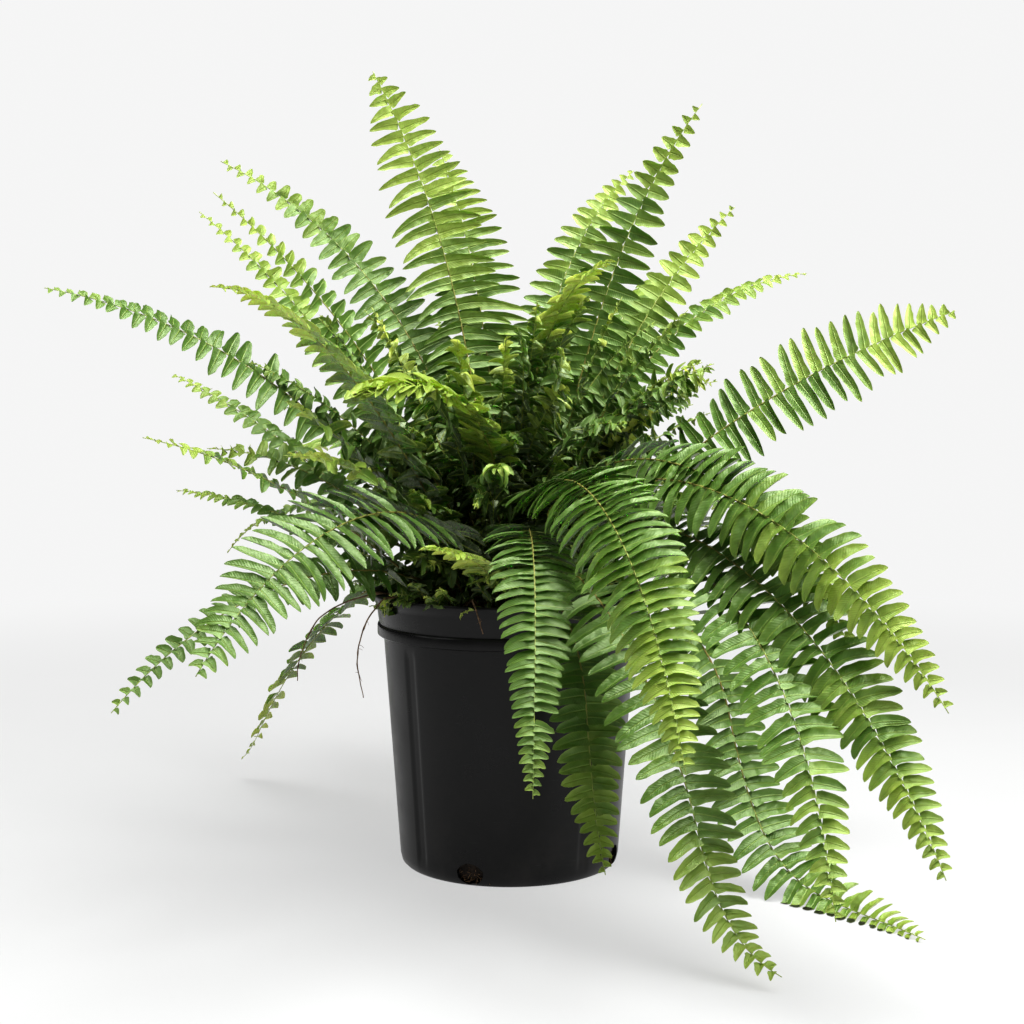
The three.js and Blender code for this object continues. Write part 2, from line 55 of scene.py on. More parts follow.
# The pot, in mm, as the CAD frame has it.
POT_HEIGHT = 225
LIP_RADIUS = 114.5
BAND_RADIUS = 107.6
NECK_RADIUS = 103.4
FOOT_RADIUS = 87
POT_WALL = 2.2
WALL_TOP = POT_HEIGHT - 36
INNER_BAND = BAND_RADIUS - POT_WALL - 1.5
FLUTE_AZIMUTH = -140
DRAIN_AZIMUTH = -110
SOIL_EDGE = 202
SOIL_DOME = 3
SOIL_GRAIN = 1
GROUND = SOIL_EDGE + SOIL_DOME
CROWN_RADIUS = 27
CROWN_TOP = GROUND + 5

# Fronds, with the same columns as the CAD part: where the rib leans to and how it bends (degrees), its
# length and longest leaflet (mm), its tone from old and dark to young and light, which some fronds' own
# tones below also use for painted shade and painted light, and where it is rooted.
FROND_COLUMNS = (
    "name", "heading", "length", "rise", "fall", "bend",
    "sweep", "turn", "reach", "tone", "seat", "seat_radius",
)
FROND_ROWS = (
    ("frond_top_left_1", 152, 470, 86, 27, 1.52, 2, -63, 40, 0.8, 153, 13),
    ("frond_top_left_2", 124, 405, 89, 30, 1.45, 5, -34, 40, 0.6, 118, 14),
    ("frond_top_left_3", 164, 470, 89, 65, 1.06, -2, -60, 33, 0.25, 172, 22),
    ("frond_top_left_4", 203, 405, 74, 37, 1.1, 1, -65, 30, 0.4, 205, 26),
    ("frond_top_left_5", 171, 410, 68, 30, 1.31, 0, -40, 30, 0.5, 180, 31),
    ("frond_top_left_6", 225, 425, 58, 63, 2.1, 24, -15, 30, 0.7, 226, 26),
    ("frond_left_1", 191, 440, 63, 54, 1.16, 1, -40, 38, 0.35, 190, 36),
    ("frond_left_2", 152, 390, 43, 27, 1.21, -14, -15, 30, 0.4, 154, 45),
    ("frond_left_3", 214, 315, 43, 32, 1.28, 8, -20, 30, 0.45, 203, 50),
    ("frond_left_4", 152, 325, 31, 30, 1.03, -9, -8, 28, 0.4, 150, 57),
    ("frond_left_5", 148, 320, 44, 92, 1.37, -6, -20, 24, 0.5, 136, 42),
    ("frond_low_left_1", 218, 355, 55, 99, 0.58, 4, -50, 30, 0.35, 214, 38),
    ("frond_low_left_2", 247, 435, 63, 112, 0.79, -14, -35, 40, 0.4, 241, 32),
    ("frond_low_left_3", 131, 450, 65, 128, 0.37, 9, -15, 20, 0.2, 128, 30),
    ("frond_middle_1", 267, 370, 74, 91, 1.17, -41, -25, 28, 0.95, 267, 24),
    ("frond_middle_2", 266, 220, 45, 39, 0.6, -27, 0, 20, 0.9, 262, 46),
    ("frond_middle_3", 243, 180, 66, 44, 0.61, 0, -10, 24, 0.6, 252, 30),
    ("frond_middle_4", 224, 270, 56, 34, 1.36, 6, -20, 28, 0.7, 226, 36),
    ("frond_top_right_1", 12, 450, 77, 26, 2.76, -2, 78, 34, 0.4, 30, 15),
    ("frond_top_right_2", 50, 425, 87, 55, 1.7, -4, 41, 32, 0.5, 70, 11),
    ("frond_top_right_3", 25, 400, 75, 36, 1.4, 2, 62, 30, 0.75, 28, 24),
    ("frond_top_right_4", 19, 410, 76, 72, 1.5, 5, 25, 26, 0.45, 8, 22),
    ("frond_top_right_5", 294, 365, 88, 89, 1.77, -1, 20, 32, 0.7, 300, 7),
    ("frond_right_1", 351, 415, 66, 46, 0.58, 0, 62, 40, 0.55, 351, 31),
    ("frond_right_2", 300, 540, 88, 140, 0.56, 13, 62, 40, 0.35, 322, 17),
    ("frond_right_3", 302, 565, 88, 149, 0.47, 3, 50, 40, 0.35, 308, 25),
    ("frond_right_4", 302, 477, 85, 148, 0.77, 11, 55, 36, 0.5, 0, 8),
    ("frond_front_1", 283, 545, 83, 144, 0.64, 1, 34, 42, 0.35, 276, 15),
    ("frond_front_2", 276, 430, 65, 148, 0.89, -11, 0, 30, 0.6, 274, 34),
    ("frond_front_3", 288, 310, 58, 201, 0.78, 2, 0, 34, 0.4, 286, 40),
    ("frond_floor_1", 286, 495, 89, 183, 0.47, 40, 24, 38, 0.35, 289, 26),
    ("frond_floor_2", 303, 520, 60, 135, 0.7, -21, 30, 38, 0.35, 308, 38),
    ("frond_floor_3", 341, 492, 87, 243, 0.48, -45, 40, 38, 0.4, 334, 34),
    ("frond_back_1", 62, 470, 66, 58, 1.3, 6, 0, 36, 0.4, 62, 30),
    ("frond_back_2", 92, 480, 60, 62, 1.2, -4, 0, 36, 0.35, 92, 34),
    ("frond_back_3", 118, 450, 50, 75, 1.1, 8, 0, 36, 0.45, 118, 42),
    ("frond_back_4", 76, 430, 44, 90, 1.0, -8, 0, 34, 0.3, 76, 47),
    ("frond_back_5", 40, 330, 52, 88, 1, 5, 0, 32, 0.4, 42, 42),
    ("frond_back_6", 104, 400, 38, 70, 1.1, 0, 0, 32, 0.35, 104, 53),
    ("frond_back_right", 14, 300, 44, 92, 0.9, 8, -10, 30, 0.3, 12, 48),
    ("frond_young_1", 250, 190, 80, 40, 1.4, 10, 0, 18, 0.9, 240, 15),
    ("frond_young_2", 335, 210, 76, 50, 1.4, -10, -20, 20, 1.0, 352, 18),
    ("frond_young_3", 196, 230, 78, 45, 1.3, 8, 20, 20, 0.8, 196, 17),
    ("frond_young_4", 232, 250, 62, 62, 1.3, -12, -15, 26, 0.5, 235, 51),
    ("frond_young_5", 296, 210, 54, 84, 1.1, 10, 5, 26, 0.45, 300, 50),
    ("frond_young_6", 178, 260, 60, 60, 1.2, -8, -20, 26, 0.4, 182, 46),
)
FRONDS = [dict(zip(FROND_COLUMNS, row)) for row in FROND_ROWS]
RIB_STEPS = 48
TABLE_CLEARANCE = 3


# Small helpers

def around(azimuth, radius, height):
    """A point in mm at that bearing and distance from the pot's axis."""
    angle = math.radians(azimuth)
    return Vector((radius * math.cos(angle), radius * math.sin(angle), height))


def mix(low, high, part):
    return low + (high - low) * part


def smooth(value, low, high):
    part = min(1, max(0, (value - low) / (high - low)))
    return part * part * (3 - 2 * part)


def finished_piece(name, bm, materials, nodes=()):
    """Turns a bmesh in mm into an object at the origin that rides on the part and stands for its nodes."""
    bmesh.ops.scale(bm, vec=(MM, MM, MM), verts=bm.verts)
    mesh = bpy.data.meshes.new(name)
    bm.to_mesh(mesh)
    bm.free()
    for material in materials:
        mesh.materials.append(material)
    piece = bpy.data.objects.new(name, mesh)
    bpy.context.scene.collection.objects.link(piece)
    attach(piece, "root")
    if nodes:
        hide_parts(*nodes)
    return piece


def add_tube(bm, places, radius_at, sides, material_index=0):
    """Adds a closed tube along places, each a (point, side, face) of the route."""
    ring = bmesh.ops.create_circle(bm, segments=sides, radius=1)["verts"]
    unit = [vert.co.copy() for vert in ring]
    edges = list({edge for vert in ring for edge in vert.link_edges})
    ends = [edges]
    rings = [ring]
    for _ in places[1:]:
        grown = bmesh.ops.extrude_edge_only(bm, edges=edges)["geom"]
        rings.append([item for item in grown if isinstance(item, bmesh.types.BMVert)])
        edges = [item for item in grown if isinstance(item, bmesh.types.BMEdge)]
    ends.append(edges)
    for at, (ring, (point, side, face)) in enumerate(zip(rings, places)):
        radius = radius_at(at / (len(places) - 1))
        for vert, spot in zip(ring, unit):
            vert.co = point + (side * spot.x + face * spot.y) * radius
    for loop in ends:
        bmesh.ops.holes_fill(bm, edges=loop, sides=0)
    faces = list({face for ring in rings for vert in ring for face in vert.link_faces})
    bmesh.ops.recalc_face_normals(bm, faces=faces)
    for face in faces:
        face.smooth = True
        face.material_index = material_index


def route_places(points):
    """A side and a face direction for each point of a route, turning as little as may be."""
    places = []
    side = Vector((0, 0, 1)).cross(points[1] - points[0])
    side = side.normalized() if side.length > 1e-6 else Vector((1, 0, 0))
    for at, point in enumerate(points):
        along = (points[min(at + 1, len(points) - 1)] - points[max(at - 1, 0)]).normalized()
        side = (side - along * side.dot(along)).normalized()
        places.append((point, side, along.cross(side)))
    return places


def soil_height(x, y):
    share = min(1, math.hypot(x, y) / INNER_BAND)
    grain = SOIL_GRAIN * math.sin(x * 0.21 + 1) * math.cos(y * 0.17 + 2)
    return SOIL_EDGE + SOIL_DOME * (1 - share * share) + grain


# Shader helpers

class Tree:
    """A short way to write a material's or a group's nodes."""

    def __init__(self, node_tree):
        self.nodes = node_tree.nodes
        self.links = node_tree.links
        self.nodes.clear()

    def node(self, kind, **values):
        made = self.nodes.new(kind)
        for name, value in values.items():
            setattr(made, name, value)
        return made

    def set(self, socket, value):
        if isinstance(value, bpy.types.NodeSocket):
            self.links.new(value, socket)
        elif value is not None:
            socket.default_value = value

    def math(self, operation, first, second=None):
        made = self.node("ShaderNodeMath", operation=operation)
        for socket, value in zip(made.inputs, (first, second)):
            self.set(socket, value)
        return made.outputs[0]

    def times(self, first, second):
        return self.math("MULTIPLY", first, second)

    def plus(self, first, second):
        return self.math("ADD", first, second)

    def minus(self, first, second):
        return self.math("SUBTRACT", first, second)

    def spread(self, value, low, high, to_low=0.0, to_high=1.0):
        """From to_low where the value is low to to_high where it is high, smoothly."""
        made = self.node("ShaderNodeMapRange", interpolation_type="SMOOTHSTEP")
        for socket, number in zip(made.inputs, (value, low, high, to_low, to_high)):
            self.set(socket, number)
        return made.outputs[0]

    def colours(self, part, first, second):
        """The first colour where part is 0 and the second where it is 1."""
        made = self.node("ShaderNodeMix", data_type="RGBA", blend_type="MIX")
        self.set(made.inputs["Factor"], part)
        self.set(made.inputs[6], first)
        self.set(made.inputs[7], second)
        return made.outputs[2]

    def attribute(self, name):
        return self.node("ShaderNodeAttribute", attribute_name=name).outputs["Fac"]

    def place(self):
        return self.node("ShaderNodeTexCoord").outputs["Object"]

    def noise(self, place, scale, detail=2.0, roughness=0.5):
        made = self.node("ShaderNodeTexNoise")
        self.set(made.inputs["Vector"], place)
        made.inputs["Scale"].default_value = scale
        made.inputs["Detail"].default_value = detail
        made.inputs["Roughness"].default_value = roughness
        return made.outputs["Fac"]

    def bump(self, height, strength, distance):
        """The normal of a surface with that relief; distance is in metres."""
        made = self.node("ShaderNodeBump")
        made.inputs["Strength"].default_value = strength
        made.inputs["Distance"].default_value = distance
        self.set(made.inputs["Height"], height)
        return made.outputs["Normal"]

    def group(self, node_group, **values):
        made = self.node("ShaderNodeGroup", node_tree=node_group)
        for name, value in values.items():
            self.set(made.inputs[name.replace("_", " ").capitalize()], value)
        return made

    def principled(self, **values):
        shader = self.node("ShaderNodeBsdfPrincipled")
        for name, value in values.items():
            self.set(shader.inputs[name.replace("_", " ")], value)
        return shader

    def surface(self, shader):
        output = self.node("ShaderNodeOutputMaterial")
        self.links.new(shader.outputs[0], output.inputs["Surface"])


def new_material(name):
    material = bpy.data.materials.new(name)
    material.use_nodes = True
    return material, Tree(material.node_tree)


def new_group(name, colours_given, shown):
    """A shader node group that takes colours; shown has a row of (name, socket kind) for each output."""
    group = bpy.data.node_groups.new(name, "ShaderNodeTree")
    for label in colours_given:
        group.interface.new_socket(label, in_out="INPUT", socket_type="NodeSocketColor")
    for label, kind in shown:
        group.interface.new_socket(label, in_out="OUTPUT", socket_type=kind)
    tree = Tree(group)
    return tree, tree.node("NodeGroupInput").outputs, tree.node("NodeGroupOutput").inputs


def colour_with_alpha(colour):
    return (*colour, 1.0)


def leaf_colour_group():
    """Leaf green: darker at the frond's foot, from older leaflets and painted shade deep in the plant,
    lighter and yellower at its tip, margins and young fronds; some fronds' tones add painted shade or painted
    light.
    """
    tree, given, shown = new_group(
        "Leaf colour", ("Dark", "Middle", "Light", "Underside"),
        (("Colour", "NodeSocketColor"), ("Height", "NodeSocketFloat"), ("Roughness", "NodeSocketFloat")),
    )
    along = tree.attribute("leaf_along")
    width = tree.math("ABSOLUTE", tree.attribute("leaf_across"))
    share, tone = tree.attribute("frond_share"), tree.attribute("frond_tone")
    patches = tree.noise(tree.place(), 55, 3, 0.6)
    # Darker towards each frond's foot, for older leaflets and painted shade deep in the plant; the frond's
    # tone, which also holds painted shade and painted light, shifts it further.
    youth_and_shade = tree.times(tree.math("POWER", share, 3), 0.95)
    youth_and_shade = tree.plus(youth_and_shade, tree.times(tone, 0.52))
    youth_and_shade = tree.plus(youth_and_shade, tree.times(tree.minus(tree.attribute("leaf_shade"), 0.5), 0.3))
    youth_and_shade = tree.plus(youth_and_shade, tree.times(tree.minus(patches, 0.5), 0.45))
    youth_and_shade = tree.plus(youth_and_shade, tree.times(tree.math("POWER", along, 3), 0.1))
    older = tree.colours(tree.spread(youth_and_shade, 0.0, 0.5), given["Dark"], given["Middle"])
    colour = tree.colours(tree.spread(youth_and_shade, 0.45, 1.0), older, given["Light"])
    midrib = tree.spread(width, 0.02, 0.16, 1.0, 0.0)
    slant = tree.minus(tree.times(along, 92), tree.times(width, 13))
    veins = tree.times(tree.plus(tree.math("SINE", slant), 1), 0.5)
    vein_colour = tree.colours(0.12, colour, given["Light"])
    colour = tree.colours(tree.times(tree.math("POWER", veins, 4), 0.5), colour, vein_colour)
    colour = tree.colours(tree.times(midrib, 0.42), colour, given["Light"])
    margin = tree.times(tree.spread(width, 0.7, 1.0), tree.spread(youth_and_shade, 0.2, 0.8, 0.06, 0.45))
    colour = tree.colours(margin, colour, given["Light"])
    below = tree.spread(tree.attribute("leaf_side"), -0.3, 0.3, 0.6, 0.0)
    colour = tree.colours(below, colour, given["Underside"])
    waves = tree.noise(tree.place(), 120, 1, 0.4)
    height = tree.plus(tree.minus(tree.times(veins, -0.2), midrib), tree.times(waves, 5))
    gloss = tree.noise(tree.place(), 240, 2)
    roughness = tree.plus(tree.times(below, 0.3), tree.times(gloss, 0.22))
    tree.links.new(colour, shown["Colour"])
    tree.links.new(height, shown["Height"])
    tree.links.new(tree.plus(roughness, 0.18), shown["Roughness"])


def leaf_material(name, settings):
    material, tree = new_material(name)
    colours = tree.group(
        bpy.data.node_groups["Leaf colour"],
        dark=colour_with_alpha(settings.dark_colour),
        middle=colour_with_alpha(settings.middle_colour),
        light=colour_with_alpha(settings.light_colour),
        underside=colour_with_alpha(settings.underside_colour),
    )
    normal = tree.bump(colours.outputs["Height"], 0.75, 0.0005)
    shader = tree.principled(
        Base_Color=colours.outputs["Colour"], Roughness=colours.outputs["Roughness"], Normal=normal,
        Subsurface_Weight=settings.glow, Subsurface_Scale=0.0012, Subsurface_Radius=(0.5, 1.0, 0.2),
        Specular_IOR_Level=1.0, Specular_Tint=(0.85, 1, 0.62, 1),
    )
    tree.surface(shader)


def rib_material():
    """The frond's rib: brown at the foot, golden green along the blade, light green at the tip."""
    material, tree = new_material("Frond rib")
    share = tree.attribute("frond_share")
    speckle = tree.noise(tree.place(), 420, 3)
    brown, golden = (0.11, 0.055, 0.018, 1), (0.26, 0.22, 0.05, 1)
    foot = tree.colours(tree.spread(share, 0.02, 0.3), brown, golden)
    colour = tree.colours(tree.spread(share, 0.35, 0.95), foot, (0.4, 0.5, 0.12, 1))
    colour = tree.colours(tree.times(speckle, 0.3), colour, (0.07, 0.04, 0.012, 1))
    roughness = tree.spread(speckle, 0.2, 0.8, 0.35, 0.6)
    normal = tree.bump(speckle, 0.3, 0.0003)
    tree.surface(tree.principled(Base_Color=colour, Roughness=roughness, Normal=normal))


def plastic_material():
    """Black moulded plastic: fine grain, dust near the foot, faint scuffs and a satin shine."""
    material, tree = new_material("Pot plastic")
    place = tree.place()
    grain = tree.noise(place, 1900, 2)
    cloud = tree.noise(place, 22, 4, 0.62)
    stretched = tree.node("ShaderNodeMapping")
    stretched.inputs["Scale"].default_value = (1, 1, 9)
    tree.links.new(place, stretched.inputs["Vector"])
    scuffs = tree.spread(tree.noise(stretched.outputs[0], 70, 5, 0.7), 0.62, 0.78)
    height = tree.node("ShaderNodeSeparateXYZ")
    tree.links.new(place, height.inputs[0])
    low_down = tree.spread(height.outputs["Z"], 0.0, 0.06, 0.5, 0.0)
    dust = tree.times(tree.spread(cloud, 0.42, 0.72), tree.plus(low_down, 0.22))
    black, worn = (0.003, 0.003, 0.0032, 1), (0.007, 0.007, 0.0075, 1)
    colour = tree.colours(tree.times(cloud, 0.5), black, worn)
    colour = tree.colours(dust, colour, (0.022, 0.02, 0.019, 1))
    colour = tree.colours(tree.times(scuffs, 0.3), colour, (0.07, 0.07, 0.074, 1))
    roughness = tree.plus(tree.spread(cloud, 0.3, 0.75, 0.26, 0.38), tree.times(scuffs, 0.14))
    normal = tree.bump(grain, 0.16, 0.0002)
    tree.surface(tree.principled(
        Base_Color=colour, Roughness=roughness, Normal=normal, Specular_IOR_Level=0.3))


def earth_material():
    """Dark potting soil with paler fibres and crumbs."""
    material, tree = new_material("Potting soil")
    place = tree.place()
    coarse = tree.noise(place, 160, 5, 0.7)
    fine = tree.noise(place, 900, 4, 0.7)
    peat, loam = (0.012, 0.008, 0.005, 1), (0.05, 0.032, 0.02, 1)
    colour = tree.colours(tree.spread(coarse, 0.35, 0.7), peat, loam)
    colour = tree.colours(tree.spread(fine, 0.62, 0.8), colour, (0.16, 0.11, 0.07, 1))
    normal = tree.bump(tree.plus(coarse, fine), 0.9, 0.0012)
    tree.surface(tree.principled(Base_Color=colour, Roughness=0.92, Normal=normal))


def root_material():
    """Scaly rootstock, wiry runners and rootlets: brown, streaked along their length."""
    material, tree = new_material("Root")
    place = tree.place()
    streaks = tree.noise(place, 380, 5, 0.65)
    blotches = tree.noise(place, 60, 3)
    brown, tan = (0.07, 0.035, 0.016, 1), (0.28, 0.17, 0.09, 1)
    colour = tree.colours(tree.spread(streaks, 0.3, 0.75), brown, tan)
    colour = tree.colours(tree.spread(blotches, 0.5, 0.75, 0, 0.5), colour, (0.3, 0.2, 0.1, 1))
    normal = tree.bump(streaks, 0.6, 0.0004)
    tree.surface(tree.principled(Base_Color=colour, Roughness=0.75, Normal=normal))


# Settings that a user would change

class FernPlantSettings(bpy.types.PropertyGroup):
    """Sizes and colours of the plant."""

    pitch: bpy.props.FloatProperty(
        name="Leaflet spacing", description="Spacing of the leaflets, as a share of each frond's own",
        default=1, min=0.5, max=3)
    leaf_thickness: bpy.props.FloatProperty(
        name="Leaflet thickness", description="Thickness of a leaflet, in millimetres",
        default=0.4, min=0.1, max=1)
    glow: bpy.props.FloatProperty(
        name="Glow", description="How much light passes through a leaflet", subtype="FACTOR",
        default=0.14, min=0, max=1)
    # Dark green: old leaflets, and painted shade for leaflets deep in the plant.
    dark_colour: bpy.props.FloatVectorProperty(
        name="Dark green", description="Old leaflets, and painted shade deep in the plant", subtype="COLOR",
        default=(0.0018, 0.016, 0.0006), min=0, max=1)
    middle_colour: bpy.props.FloatVectorProperty(
        name="Middle green", description="Grown leaflets", subtype="COLOR",
        default=(0.037, 0.088, 0.006), min=0, max=1)
    light_colour: bpy.props.FloatVectorProperty(
        name="Light green", description="Leaflets near a frond's tip", subtype="COLOR",
        default=(0.5, 0.58, 0.09), min=0, max=1)
    underside_colour: bpy.props.FloatVectorProperty(
        name="Underside green", description="Lower side of the leaflets", subtype="COLOR",
        default=(0.1, 0.19, 0.03), min=0, max=1)
    seed: bpy.props.IntProperty(name="Seed", description="Start of the random draws", default=7, min=0)


class FernStageSettings(bpy.types.PropertyGroup):
    """Camera, light and floor."""

    camera_distance: bpy.props.FloatProperty(
        name="Camera distance", description="From the camera to the pot's axis", unit="LENGTH",
        default=1.402, min=0.1)
    camera_height: bpy.props.FloatProperty(
        name="Camera height", description="Above the floor", default=0.394, min=0, unit="LENGTH")
    camera_side: bpy.props.FloatProperty(
        name="Camera side shift", description="To the right of the pot's axis", unit="LENGTH",
        default=0.0022)
    camera_pitch: bpy.props.FloatProperty(
        name="Camera pitch", description="How far the camera looks down", subtype="ANGLE",
        default=math.radians(4.27))
    lens: bpy.props.FloatProperty(name="Lens", description="Focal length in millimetres", default=60, min=10)
    picture_gamma: bpy.props.FloatProperty(
        name="Picture gamma", description="Below 1, the picture's middle tones are darker",
        default=0.84, min=0.5, max=2)
    floor_colour: bpy.props.FloatVectorProperty(
        name="Floor colour", description="Pale floor near the pot", subtype="COLOR",
        default=(0.21, 0.212, 0.21), min=0, max=1)
    floor_glow: bpy.props.FloatProperty(
        name="Floor glow", description="Light that comes up through the floor, which softens shadows",
        default=0.65, min=0)
    backdrop_colour: bpy.props.FloatVectorProperty(
        name="Backdrop colour", description="Evenly lit studio behind and around", subtype="COLOR",
        default=(0.93, 0.93, 0.93), min=0, max=1)
    sky_strength: bpy.props.FloatProperty(
        name="Fill light", description="Strength of the even light from above", default=0.18, min=0)
    top_power: bpy.props.FloatProperty(
        name="Top light", description="Power of the soft light right above the plant", default=50, min=0)
    key_power: bpy.props.FloatProperty(
        name="Front light", description="Power of the large light in front on the right", default=48, min=0)


# Fronds

class RibPlace:
    """A place on a rib, with its own directions: along, side and face (the blade's upper side)."""

    def __init__(self, share, point, along, side, face):
        self.share = share
        self.point = point
        self.along = along
        self.side = side
        self.face = face


def rib_of(frond):
    """The rib's places, by the same rule as the CAD part's."""
    step = frond["length"] / RIB_STEPS
    point = around(frond["seat"], frond["seat_radius"], 0)
    on_crown = frond["seat_radius"] < CROWN_RADIUS
    point.z = CROWN_TOP - 4 if on_crown else soil_height(point.x, point.y)
    places = []
    for at in range(RIB_STEPS + 1):
        share = at / RIB_STEPS
        heading = math.radians(frond["heading"] + frond["sweep"] * share ** 1.5)
        wanted = math.radians(frond["rise"] - frond["fall"] * share ** frond["bend"])
        slope = max(wanted, -math.atan2(point.z - TABLE_CLEARANCE, 30))
        flat = math.cos(slope)
        along = Vector((flat * math.cos(heading), flat * math.sin(heading), math.sin(slope)))
        level = Vector((-math.sin(heading), math.cos(heading), 0))
        up = along.cross(level)
        turn = math.radians(frond["turn"]) * (1 - (1 - share) ** 2)
        side = level * math.cos(turn) + up * math.sin(turn)
        places.append(RibPlace(share, point.copy(), along, side, along.cross(side)))
        point += along * step
    return places


def place_at(rib, share):
    at = min(1, max(0, share)) * RIB_STEPS
    low = min(RIB_STEPS - 1, int(at))
    first, second, part = rib[low], rib[low + 1], at - low
    return RibPlace(
        share,
        first.point.lerp(second.point, part),
        first.along.lerp(second.along, part).normalized(),
        first.side.lerp(second.side, part).normalized(),
        first.face.lerp(second.face, part).normalized(),
    )


# How long leaflets are along a frond, as shares of its longest: at these shares of the rib.
TAPER_SHARES = (0.1, 0.3, 0.45, 0.6, 0.75, 0.9, 1)
TAPERS = {
    "full": (0.5, 0.94, 1, 0.98, 0.86, 0.5, 0.12),
    "blunt": (0.5, 0.94, 1, 1, 0.94, 0.6, 0.1),
    "even": (0.5, 0.92, 1, 0.9, 0.7, 0.38, 0.12),
    "slender": (0.6, 1, 1, 0.88, 0.54, 0.27, 0.12),
    "ragged": (0.7, 0.9, 0.78, 0.56, 0.42, 0.3, 0.14),
}


def reach_at(frond, share):
    """A leaflet's length at that share of the rib."""
    lengths = TAPERS[frond["taper"]]
    at = 0
    while at < len(lengths) - 2 and share > TAPER_SHARES[at + 1]:
        at += 1
    low, high = TAPER_SHARES[at], TAPER_SHARES[at + 1]
    part = min(1, max(0, (share - low) / (high - low)))
    reach = frond["reach"] * mix(lengths[at], lengths[at + 1], part)
    return reach * (1 + frond["fan"] * smooth(share, 0.76, 0.9))


# A leaflet from its foot to its tip: how far along each row lies, and its half width towards the frond's
# foot and towards the frond's tip, where it has an ear. Widths are shares of the spacing's half.
LEAFLET_ROWS = (
    (0, 0.68, 0.8), (0.05, 0.78, 0.97), (0.14, 0.78, 0.88), (0.3, 0.74, 0.78), (0.5, 0.7, 0.72),
    (0.68, 0.62, 0.62), (0.84, 0.48, 0.47), (0.95, 0.27, 0.26), (1, 0.05, 0.05),
)
LEAFLET_LAYERS = ("leaf_across", "leaf_along", "leaf_side")
FROND_LAYERS = ("frond_share", "frond_tone", "leaf_shade")
DOWN = Vector((0, 0, -1))


def leaflet_pattern():
    """One thin closed leaflet, flat, with its own directions kept on its vertices."""
    bm = bmesh.new()
    last = len(LEAFLET_ROWS) - 1
    bmesh.ops.create_grid(bm, x_segments=2, y_segments=last, size=0.5)
    across, along, side = (bm.verts.layers.float.new(name) for name in LEAFLET_LAYERS)
    rows = {}
    for vert in bm.verts:
        rows[vert] = round((vert.co.y + 0.5) * last)
        vert[across] = vert.co.x * 2
    for vert, row in rows.items():
        vert[along] = LEAFLET_ROWS[row][0]
    bmesh.ops.solidify(bm, geom=list(bm.faces), thickness=1)
    for vert in bm.verts:
        vert[side] = -1 if vert.co.z < -0.5 else 1
    bmesh.ops.recalc_face_normals(bm, faces=bm.faces)
    for face in bm.faces:
        face.smooth = True
    for edge in bm.edges:
        edge.smooth = edge.calc_face_angle(0) < 0.5
    mesh = bpy.data.meshes.new("leaflet_pattern")
    bm.to_mesh(mesh)
    spots = []
    for vert in bm.verts:
        spots.append((round(vert[across]), round((vert.co.y + 0.5) * last), round(vert[side])))
    bm.free()
    return mesh, spots


class Leaflet:
    """Where one leaflet grows, and how it lies."""

    def __init__(self, frond, place, hand, reach, spacing, draw, settings):
        wild = frond["wild"] * mix(4, 1, smooth(place.share, 0.16, 0.5))
        lean = frond["lean"] + mix(0, 14 + 22 * frond["fan"], smooth(place.share, 0.6, 1))
        lean = math.radians(lean + draw.gauss(0, 2.6) * wild)
        lift = math.radians(2 + draw.gauss(0, 4.5) * wild)
        twist = math.radians(12 + draw.gauss(0, 7) * wild)
        out = place.side * (hand * math.cos(lift) * math.cos(lean))
        self.out = (out + place.along * math.sin(lean) + place.face * math.sin(lift)).normalized()
        wide = (place.along - self.out * place.along.dot(self.out)).normalized()
        face = wide.cross(self.out) * -hand
        self.wide = wide * math.cos(twist) - face * math.sin(twist)
        self.hand = hand
        radius = rib_radius(place.share)
        self.root = place.point + place.side * (hand * radius * 0.55) - place.face * (radius * 0.55)
        self.reach = reach
        self.half = min(spacing * frond["fill"] / 2 * draw.uniform(0.93, 1.07), reach * 0.52)
        self.point = max(frond["point"], smooth(place.share, 0.8, 0.97))
        self.curl = draw.gauss(0, 0.12) * wild
        self.face = self.wide.cross(self.out) * -hand
        sideways = DOWN.dot(self.wide) * frond["sag"] * draw.uniform(0.6, 1.4) + draw.gauss(0.03, 0.03)
        downwards = DOWN.dot(self.face) * frond["droop"] * draw.uniform(0.75, 1.25)
        downwards -= draw.gauss(0.07, 0.05)
        self.bend = self.wide * sideways + self.face * downwards
        self.shorter = 0.5 * (sideways ** 2 + downwards ** 2)
        self.arch = self.face * draw.gauss(0.03, 0.02)
        self.thickness = settings.leaf_thickness * mix(0.7, 1, min(1, reach / frond["reach"]))
        self.fold = draw.uniform(0.4, 0.85)
        self.ripple = [draw.gauss(1, 0.07) for _ in range(2 * len(LEAFLET_ROWS))]

    def middle(self, along):
        """The midrib: it arches up a little, then bends down under its own weight."""
        square = along * along
        spot = self.out * (along - self.shorter * square * along) + self.bend * square
        return self.root + (spot + self.arch * math.sin(math.pi * along)) * self.reach

    def points(self):
        """The leaflet's rows of points, by across from -1 to 1 and side from -1 to 1."""
        places = {}
        for row, (along, low, high) in enumerate(LEAFLET_ROWS):
            middle = self.middle(along)
            tangent = (self.middle(along + 0.02) - self.middle(along - 0.02)).normalized()
            wide = (self.wide - tangent * self.wide.dot(tangent)).normalized()
            face = wide.cross(tangent) * -self.hand
            curl = self.curl * along
            curled = wide * math.cos(curl) - face * math.sin(curl)
            face = face * math.cos(curl) + wide * math.sin(curl)
            slimmer = 1 - 0.4 * self.point * smooth(along, 0.15, 0.95)
            fold = self.fold * mix(0.35, 1, smooth(along, 0, 0.4))
            low, high = low * self.ripple[2 * row], high * self.ripple[2 * row + 1]
            for across, width in ((-1, -low), (0, 0), (1, high)):
                width *= self.half * slimmer
                spot = middle + curled * width - face * (abs(width) * fold)
                thick = self.thickness * (0.5 if across else 0.65) * (1 - 0.5 * along)
                places[across, row, 1] = spot + face * thick / 2
                places[across, row, -1] = spot - face * thick / 2
        return places


